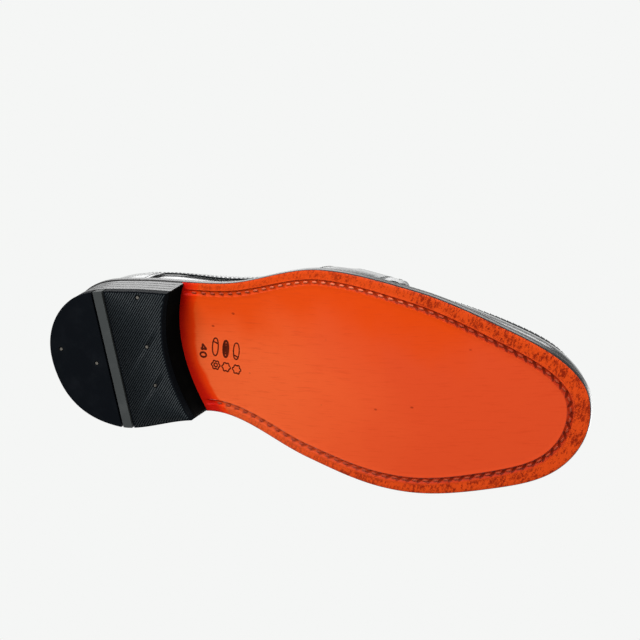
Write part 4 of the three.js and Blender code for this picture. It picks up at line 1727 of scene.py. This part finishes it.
    def build(self) -> None:
        """Makes the sole and what lies inside it."""
        self.outsole()
        start, end = SHAPE.breast_station("lateral"), 2 - SHAPE.breast_station("medial")
        bed = self.channel_depth - 0.28
        for name, last in (("outsole_stitches_outer", start + 0.001),
                           ("outsole_stitches_inner", end - 0.001)):
            row = self.path(1.0, last, self.channel_at, lambda x: SHAPE.bottom(x) + bed)
            down = np.tile([0.0, 0.0, -1.0], (len(row), 1))
            self.wardrobe.sew(name, row, down, self.stitch_pitch, self.stitch, Slot.BROWN_THREAD,
                              exact=True, nodes=["outsole_stitch"])
        self.band("welt_strip", start, end, 420, Slot.EDGE, "welt")
        self.band("heel_rand_strip", end - 2 + 0.0015, start - 0.0015, 140, Slot.EDGE, "heel_rand")
        row = self.path(start + 0.02, end - 0.02, lambda q: 0.5 + SHAPE.extension(np.mod(q, 2)) * 0.42,
                        lambda x: SHAPE.welt_top(x) + 0.12)
        up = np.tile([0.0, 0.0, 1.0], (len(row), 1))
        self.wardrobe.sew("welt_stitches", row, up, self.welt_pitch, self.welt_stitch, Slot.BLACK_THREAD,
                          nodes=["welt_stitch"])
        self.stamp()
        bare = 0.3 + SHAPE.gap + self.insole
        pad = bare + self.sock + 0.1
        self.slab("sock_leather", 0.9, lambda x: SHAPE.welt_top(x) + bare,
                  lambda x: SHAPE.welt_top(x) + bare + self.sock, 1.0, Slot.LINING, "sock_lining")
        self.slab("heel_cushion", 2.8, lambda x: SHAPE.welt_top(x) + pad,
                  lambda x: SHAPE.welt_top(x) + pad + self.cushion,
                  float(SHAPE.station_of(self.cushion_end)), Slot.LINING, "heel_pad")
        self.wardrobe.keep("cork_filler", Slot.CORK)
        self.wardrobe.keep("shank", Slot.STEEL)
        self.wardrobe.keep("insole", Slot.BOARD)


# ---- Upper -----------------------------------------------------------------------------------------


@dataclass
class Upper:
    """Vamp, apron, quarters, heel strap, collar, binding and linings, wrapped on the last."""

    wardrobe: Wardrobe
    leather: float = 1.4
    stiffener: float = 1.0
    lining: float = 1.0
    throat: float = 147
    seam_radius: float = 1.15
    seam_pitch: float = 3.1
    seam_stitch: tuple[float, float, float] = (2.2, 0.55, 0.55)
    collar_height: float = 12.5
    collar: float = 1.0
    overlay: float = 0.4
    collar_end: float = 132
    heel_strap: float = 38
    binding: float = 1.5
    stitch_margin: float = 2.4
    fine_pitch: float = 2.7
    fine_stitch: tuple[float, float, float] = (2.0, 0.6, 0.45)

    @property
    def lining_out(self) -> float:
        """The lining's outer face, as an offset from the last."""
        return -self.leather - self.stiffener - 2 * SHAPE.gap

    def layer(self, name: str, span: tuple[float, float], grid: tuple[int, int], low: Callable,
              high: Callable, offsets: tuple[float, float], slot: Slot, node: str, meeting: bool = False,
              edge: float = 0.35) -> None:
        """One sheet of the upper.

        Args:
            name: the piece's name.
            span: where it starts and ends round the outline.
            grid: columns and rows.
            low: its lower edge as an angle.
            high: its upper edge as an angle.
            offsets: its outer and inner faces.
            slot: its finish.
            node: the solid-model node that it stands for.
            meeting: whether its two sides meet at the ridge.
            edge: how far its cut edge is rounded.
        """
        def face(offset: float) -> Callable[[Array, Array], Array]:
            """A rule for one face of the sheet.

            Args:
                offset: how far the face lies outside the last.

            Returns:
                A function from shares along and up the sheet to points.
            """
            def at(u: Array, v: Array) -> Array:
                """Points of the face at shares along and up it.

                Args:
                    u: shares along the sheet.
                    v: shares up it.

                Returns:
                    The points in millimetres.
                """
                line = mix(span[0], span[1], u[:, 0])
                bottom, top = low(line)[:, None], high(line)[:, None]
                return SHAPE.upper(line[:, None] + 0 * v, mix(bottom, top, v), offset)
            return at

        sheet = patch(name, *grid, face(offsets[0]), face(offsets[1]), meeting)
        self.wardrobe.dress(soften(sheet, edge) if edge else sheet, slot, node)

    @staticmethod
    def ridge(q: Array) -> Array:
        """The angle of the ridge, the same all round."""
        return np.full_like(q, np.pi / 2)

    @staticmethod
    def below_seam(q: Array) -> Array:
        """The angle of the vamp's top edge, a gap below the apron seam."""
        return SHAPE.apron_theta(q) - SHAPE.climb(q, SHAPE.apron_theta(q), SHAPE.gap)

    @staticmethod
    def above_seam(q: Array) -> Array:
        """The angle of the apron's edge, a gap above the apron seam."""
        return SHAPE.apron_theta(q) + SHAPE.climb(q, SHAPE.apron_theta(q), SHAPE.gap)

    @staticmethod
    def strap_foot(q: Array) -> Array:
        """The angle of the heel strap's lower edge, just above the last's foot."""
        return SHAPE.climb(q, np.full_like(q, 0.05), 0.4)

    def seam(self) -> None:
        """The raised seam round the apron, pinched at each stitch."""
        start = float(SHAPE.station_of(self.throat)) + 0.01
        q = np.linspace(start, 2 - start, 1500)
        theta = SHAPE.apron_theta(q)
        normal = SHAPE.normal(q, theta)
        centre = SHAPE.upper(q, theta, self.seam_radius * 0.72)
        along = unit(np.gradient(centre, axis=0))
        run = run_of(centre)
        pinch = 1 - 0.2 * np.exp(-((np.mod(run, self.seam_pitch) - self.seam_pitch / 2) / 0.5) ** 2)
        rope = cord("apron_seam_ridge", centre, normal, np.cross(along, normal),
                    (self.seam_radius * pinch * 0.92, self.seam_radius * pinch * 1.15), 12)
        self.wardrobe.dress(rope, Slot.CALF, "apron_seam")
        top = centre + normal * self.seam_radius * 0.98
        self.wardrobe.sew("apron_seam_stitches", top, normal, self.seam_pitch, self.seam_stitch,
                          Slot.BLACK_THREAD, crosswise=True)

    def rim(self) -> None:
        """The rolled binding along the top edge."""
        end = float(SHAPE.station_of(self.collar_end + 3))
        q = np.linspace(-end, end, 420)
        theta = SHAPE.topline_theta(q)
        theta = theta + SHAPE.climb(q, theta, self.binding + SHAPE.gap - 0.25)
        depth = (self.leather + self.stiffener + self.lining + 2 * SHAPE.gap) / 2
        centre = SHAPE.upper(q, theta, -depth)
        normal = SHAPE.normal(q, theta)
        along = unit(np.gradient(centre, axis=0))
        taper = np.sqrt(np.clip(1 - (np.abs(np.linspace(-1, 1, len(q))) - 0.99).clip(0) / 0.0101, 0.02, 1))
        roll = cord("topline_roll", centre, normal, np.cross(along, normal),
                    (self.binding * 1.05 * taper, (depth + 0.35) * taper), 18)
        self.wardrobe.dress(roll, Slot.CALF, "topline_binding")

    def rows_of_stitches(self) -> None:
        """Stitching along the collar and down the heel strap."""
        top = self.overlay + self.collar - 0.02
        end = float(SHAPE.station_of(self.collar_end - 2))
        q = np.linspace(-end, end, 500)
        theta = SHAPE.topline_theta(q, self.collar_height)
        theta = theta + SHAPE.climb(q, theta, 1.9)
        self.wardrobe.sew("collar_stitches", SHAPE.upper(q, theta, top), SHAPE.normal(q, theta),
                          self.fine_pitch, self.fine_stitch, Slot.BLACK_THREAD)
        for side, label in ((-1, "inner"), (1, "outer")):
            q_edge = side * float(SHAPE.station_of(self.heel_strap - self.stitch_margin))
            low = SHAPE.climb(np.array([q_edge]), np.array([0.05]), 3.0)[0]
            high = SHAPE.topline_theta(np.array([q_edge]), self.collar_height + 2.5)[0]
            theta = np.linspace(low, high, 120)
            line = np.full_like(theta, q_edge)
            self.wardrobe.sew(f"heel_strap_stitches_{label}", SHAPE.upper(line, theta, top),
                              SHAPE.normal(line, theta), self.fine_pitch, self.fine_stitch,
                              Slot.BLACK_THREAD)

    def build(self) -> None:
        """Makes the upper."""
        throat = float(SHAPE.station_of(self.throat))
        skin = (0.0, -self.leather)
        self.layer("vamp_leather", (throat, 2 - throat), (260, 34), np.zeros_like,
                   self.below_seam, skin, Slot.CALF, "vamp")
        self.layer("apron_leather", (throat, 2 - throat), (260, 30), self.above_seam, self.ridge,
                   skin, Slot.CALF, "apron", meeting=True)
        self.seam()
        inner = (self.lining_out, self.lining_out - self.lining)
        self.layer("vamp_lining_leather", (throat, 2 - throat), (160, 26), np.zeros_like, self.ridge,
                   inner, Slot.LINING, "vamp_lining", meeting=True, edge=0)
        joint = throat - 0.002
        back = 0.0025
        self.layer("quarter_lateral_leather", (back, joint), (130, 34), np.zeros_like,
                   SHAPE.topline_theta, skin, Slot.CALF, "quarter_lateral")
        self.layer("quarter_medial_leather", (-joint, -back), (130, 34), np.zeros_like,
                   SHAPE.topline_theta, skin, Slot.CALF, "quarter_medial")
        self.layer("quarter_lining_leather", (-joint, joint), (260, 30), np.zeros_like,
                   SHAPE.topline_theta, inner, Slot.LINING, "quarter_lining", edge=0)
        strap = float(SHAPE.station_of(self.heel_strap))
        outside = (self.overlay + self.collar, self.overlay)
        self.layer("heel_strap_leather", (-strap, strap), (150, 34), self.strap_foot,
                   lambda q: SHAPE.topline_theta(q, self.collar_height + 0.8), outside, Slot.CALF,
                   "heel_strap")
        end = float(SHAPE.station_of(self.collar_end))
        self.layer("collar_leather", (-end, end), (320, 12),
                   lambda q: SHAPE.topline_theta(q, self.collar_height),
                   lambda q: SHAPE.topline_theta(q, 0.9), outside, Slot.CALF, "collar_strip")
        self.rim()
        self.rows_of_stitches()
        self.wardrobe.keep("toe_puff", Slot.BOARD)
        self.wardrobe.keep("heel_counter", Slot.BOARD)


# ---- Tongue and saddle strap -----------------------------------------------------------------------


@dataclass
class TongueAndStrap:
    """The tongue with its lining, and the saddle strap with the penny slot."""

    wardrobe: Wardrobe
    upper: Upper
    tip: float = 112
    root: float = 168
    tongue: float = 1.5
    clearance: float = 1.1
    strap: float = 1.6
    lip: float = 0.9
    rear: float = 138
    front: float = 180
    sweep: float = 8
    reach: float = 0.965
    slot_x: float = 157
    slot_half: tuple[float, float] = (22, 3.2)
    half: Through = Through([(112, 0.47), (130, 0.5), (147, 0.46), (168, 0.4)])
    crown_half: Through = Through([(128, 0.62), (138, 0.36), (147, 0.12)])
    crown_rise: Through = Through([(112, 3.2), (132, 3), (141, 0.4), (147, 0)])

    def tongue_point(self, u: Array, v: Array, depth: float, inset: float = 0.0) -> Array:
        """Points on the tongue, from its tip to its root and from side to side.

        Args:
            u: shares from the tip to the root.
            v: shares from the outer side to the inner side.
            depth: how far below its top face.
            inset: a margin at its free edges in millimetres.

        Returns:
            The points in millimetres.
        """
        phi = mix(-1, 1, v)
        notch = 2.2 * np.exp(-(phi / 0.05) ** 2)
        tip = self.tip + 7 * np.abs(phi) ** 6 + notch + inset
        x = mix(tip, self.root, u)
        place = phi * (self.half(x) - inset / 55)
        crown = np.maximum(0, 1 - (place / self.crown_half(x)) ** 2)
        base = self.upper.lining_out - self.upper.lining - self.clearance
        return SHAPE.across(x, place, base + self.crown_rise(x) * crown - depth)

    def strap_point(self, u: Array, v: Array, offset: float) -> Array:
        """Points on the strap, from its rear edge to its front edge and from welt to welt.

        Args:
            u: shares from the rear edge to the front edge.
            v: shares from the outer side to the inner side.
            offset: how far outside the last.

        Returns:
            The points in millimetres.
        """
        phi = mix(-self.reach, self.reach, v)
        x = mix(self.rear, self.front, u) - self.sweep * np.abs(phi) ** 1.5
        seam = 1 - SHAPE.apron_theta(SHAPE.station_of(x)) / (np.pi / 2)
        over = np.exp(-((np.abs(phi) - seam) / 0.1) ** 2)
        bridge = (2 * self.upper.seam_radius + SHAPE.gap) * over * smooth((x - self.upper.throat + 4) / 6)
        lip = self.lip * smooth((u - 0.8) / 0.2)
        return SHAPE.across(x, phi, offset + np.maximum(bridge, lip))

    def slot_cutter(self) -> bpy.types.Object:
        """A tall lens that cuts the penny slot.

        Returns:
            The cutter.
        """
        t = np.linspace(-1, 1, 40)
        long, wide = self.slot_half
        middle = float(SHAPE.midline(self.slot_x))
        one = np.column_stack([self.slot_x - wide * (1 - t * t), middle + long * t])
        other = np.column_stack([self.slot_x + wide * (1 - t * t), middle + long * t])[::-1][1:-1]
        return prism("slot", np.concatenate([one, other]), 20, 150)

    def build(self) -> None:
        """Makes the tongue and the strap with their stitching."""
        tongue = patch("tongue_leather", 70, 90, lambda u, v: self.tongue_point(u, v, 0),
                       lambda u, v: self.tongue_point(u, v, self.tongue))
        self.wardrobe.dress(soften(tongue, 0.45, 3), Slot.CALF, "tongue")
        below = self.tongue + 0.1
        under = patch("tongue_lining_leather", 60, 60, lambda u, v: self.tongue_point(u, v, below, 1.2),
                      lambda u, v: self.tongue_point(u, v, below + 1.0, 1.2))
        self.wardrobe.dress(soften(under, 0.3), Slot.LINING, "tongue_lining")
        v = np.linspace(0.03, 0.97, 300)
        around = self.tongue_point(np.full_like(v, 0.0), v, -0.03, 3.2)
        above = self.tongue_point(np.full_like(v, 0.0), v, -1.03, 3.2)
        self.wardrobe.sew("tongue_stitches", around, above - around, self.upper.fine_pitch,
                          self.upper.fine_stitch, Slot.BLACK_THREAD)
        outer = self.upper.overlay + self.strap
        strap = patch("saddle_strap_leather", 60, 200, lambda u, v: self.strap_point(u, v, outer),
                      lambda u, v: self.strap_point(u, v, self.upper.overlay))
        strap = carve(strap, [self.slot_cutter()])
        strap.data.set_sharp_from_angle(angle=math.radians(40))
        self.wardrobe.dress(soften(strap, 0.4, 3, 50), Slot.CALF, "saddle_strap")
        v = np.linspace(0.02, 0.98, 500)
        margin = self.upper.stitch_margin / (self.front - self.rear)
        for name, edge in (("strap_stitches_rear", margin), ("strap_stitches_front", 1 - margin)):
            u = np.full_like(v, edge)
            row = self.strap_point(u, v, outer + 0.03)
            self.wardrobe.sew(name, row, self.strap_point(u, v, outer + 1.03) - row,
                              self.upper.fine_pitch, self.upper.fine_stitch, Slot.BLACK_THREAD)


# ---- Studio ----------------------------------------------------------------------------------------


@dataclass
class Studio:
    """Camera from below at the sole, soft light all round, and a pale floor that only shows from above."""

    eye: tuple[float, float, float] = (0.2693, -0.2628, -0.8667)
    turn: tuple[float, float, float] = (0.242, 0.302, 0.098)
    focal: float = 1900
    picture: float = 640
    sensor: float = 36
    pale: Colour = (0.913, 0.921, 0.913)
    below: float = 0.12
    overhead: float = 0.2
    floor_drop: float = 0.0004

    def camera(self) -> None:
        """The camera, from its place and its turn away from looking straight up."""
        data = bpy.data.cameras.new("view")
        data.sensor_width = self.sensor
        data.lens = self.focal * self.sensor / self.picture
        data.clip_end = 20
        thing = bpy.data.objects.new("view", data)
        bpy.context.scene.collection.objects.link(thing)
        angle = Vector(self.turn).length
        spun = Matrix.Rotation(angle, 3, Vector(self.turn))
        base = Matrix(((1, 0, 0), (0, -1, 0), (0, 0, -1)))
        axes = (base @ spun).transposed()
        thing.matrix_world = Matrix.Translation(self.eye) @ axes.to_4x4()
        bpy.context.scene.camera = thing

    def light(self, name: str, place: tuple[float, float, float], aim: tuple[float, float, float],
              size: tuple[float, float], power: float) -> None:
        """One rectangular lamp.

        Args:
            name: the lamp's name.
            place: where it stands.
            aim: the point that it faces.
            size: its sides.
            power: its watts.
        """
        data = bpy.data.lights.new(name, "AREA")
        data.shape = "RECTANGLE"
        data.size, data.size_y = size
        data.energy = power
        thing = bpy.data.objects.new(name, data)
        thing.visible_camera = False
        thing.location = place
        thing.rotation_euler = (Vector(aim) - Vector(place)).to_track_quat("-Z", "Y").to_euler()
        bpy.context.scene.collection.objects.link(thing)

    def sky(self, tree: bpy.types.NodeTree) -> None:
        """Pale all round, dim underneath, with a dim patch overhead on the outer side.

        Args:
            tree: the world's nodes.
        """
        def step(source: bpy.types.NodeSocket, low: float, high: float, start: float,
                 end: float) -> bpy.types.NodeSocket:
            """A smooth step of one axis of the direction.

            Args:
                source: the axis.
                low: where the step starts.
                high: where it ends.
                start: the value before it.
                end: the value after it.

            Returns:
                The value.
            """
            made = tree.nodes.new("ShaderNodeMapRange")
            made.interpolation_type = "SMOOTHSTEP"
            for socket, value in zip(made.inputs[1:5], (low, high, start, end)):
                socket.default_value = value
            tree.links.new(source, made.inputs[0])
            return made.outputs[0]

        way = tree.nodes.new("ShaderNodeTexCoord")
        split = tree.nodes.new("ShaderNodeSeparateXYZ")
        tree.links.new(way.outputs["Generated"], split.inputs[0])
        up = step(split.outputs["Z"], -0.35, 0.02, self.below, 1.0)
        high = step(split.outputs["Z"], 0.66, 0.80, 0.0, 1.0)
        outer = step(split.outputs["Y"], -0.14, 0.03, 1.0 - self.overhead, 0.0)
        patch_share = tree.nodes.new("ShaderNodeMath")
        patch_share.operation = "MULTIPLY"
        strength = tree.nodes.new("ShaderNodeMath")
        strength.operation = "SUBTRACT"
        for source, target in ((high, patch_share.inputs[0]), (outer, patch_share.inputs[1]),
                               (up, strength.inputs[0]), (patch_share.outputs[0], strength.inputs[1]),
                               (strength.outputs[0], tree.nodes["Background"].inputs[1])):
            tree.links.new(source, target)
        tree.nodes["Background"].inputs[0].default_value = (*self.pale, 1)

    def floor(self) -> None:
        """A wide pale floor, seen from above and clear from below."""
        mesh = bpy.data.meshes.new("floor")
        reach = 6.0
        places = ((-reach, -reach), (reach, -reach), (reach, reach), (-reach, reach))
        corners = [(x, y, -self.floor_drop) for x, y in places]
        mesh.from_pydata(corners, [], [(0, 1, 2, 3)])
        floor = make_object("floor", mesh)
        shader = Shader("pale_floor")
        material = shader.dress(self.pale, 0.8)
        tree = material.node_tree
        back = tree.nodes.new("ShaderNodeNewGeometry")
        clear = tree.nodes.new("ShaderNodeBsdfTransparent")
        choose = tree.nodes.new("ShaderNodeMixShader")
        tree.links.new(back.outputs["Backfacing"], choose.inputs[0])
        tree.links.new(shader.surface.outputs[0], choose.inputs[1])
        tree.links.new(clear.outputs[0], choose.inputs[2])
        tree.links.new(choose.outputs[0], tree.nodes["Material Output"].inputs["Surface"])
        mesh.materials.append(material)
        floor.visible_diffuse = floor.visible_glossy = False
        floor.visible_transmission = floor.visible_shadow = False

    def build(self) -> None:
        """Sets the stage."""
        self.camera()
        scene = bpy.context.scene
        scene.view_settings.view_transform = "Standard"
        world = bpy.data.worlds.new("studio")
        world.use_nodes = True
        self.sky(world.node_tree)
        scene.world = world
        self.light("sole_key", (-0.35, -0.8, -0.95), (-0.05, 0, 0), (0.8, 0.8), 15)
        self.light("sole_fill", (0.9, -0.5, -0.8), (0.05, 0, 0), (0.7, 0.7), 4)
        self.light("high_glare", (-0.62, -0.42, 1.25), (-0.05, 0, 0.05), (0.6, 0.7), 2.6)
        self.light("edge_glare", (0.02, -0.45, 1.25), (0.0, 0, 0.02), (0.4, 0.3), 0.9)
        self.light("inner_strip", (-0.45, 0.85, 0.62), (-0.02, 0.03, 0.04), (0.22, 0.9), 1.8)
        self.light("top_soft", (0.5, 0.5, 1.2), (0, 0, 0.04), (0.5, 0.9), 4)
        self.floor()


def main() -> None:
    """Builds the shoe, then the studio."""
    logging.basicConfig(level=logging.INFO, format="%(message)s")
    wardrobe = Wardrobe()
    Heel(wardrobe).build()
    Sole(wardrobe).build()
    upper = Upper(wardrobe)
    upper.build()
    TongueAndStrap(wardrobe, upper).build()
    Studio().build()


if __name__ == "__main__":
    main()
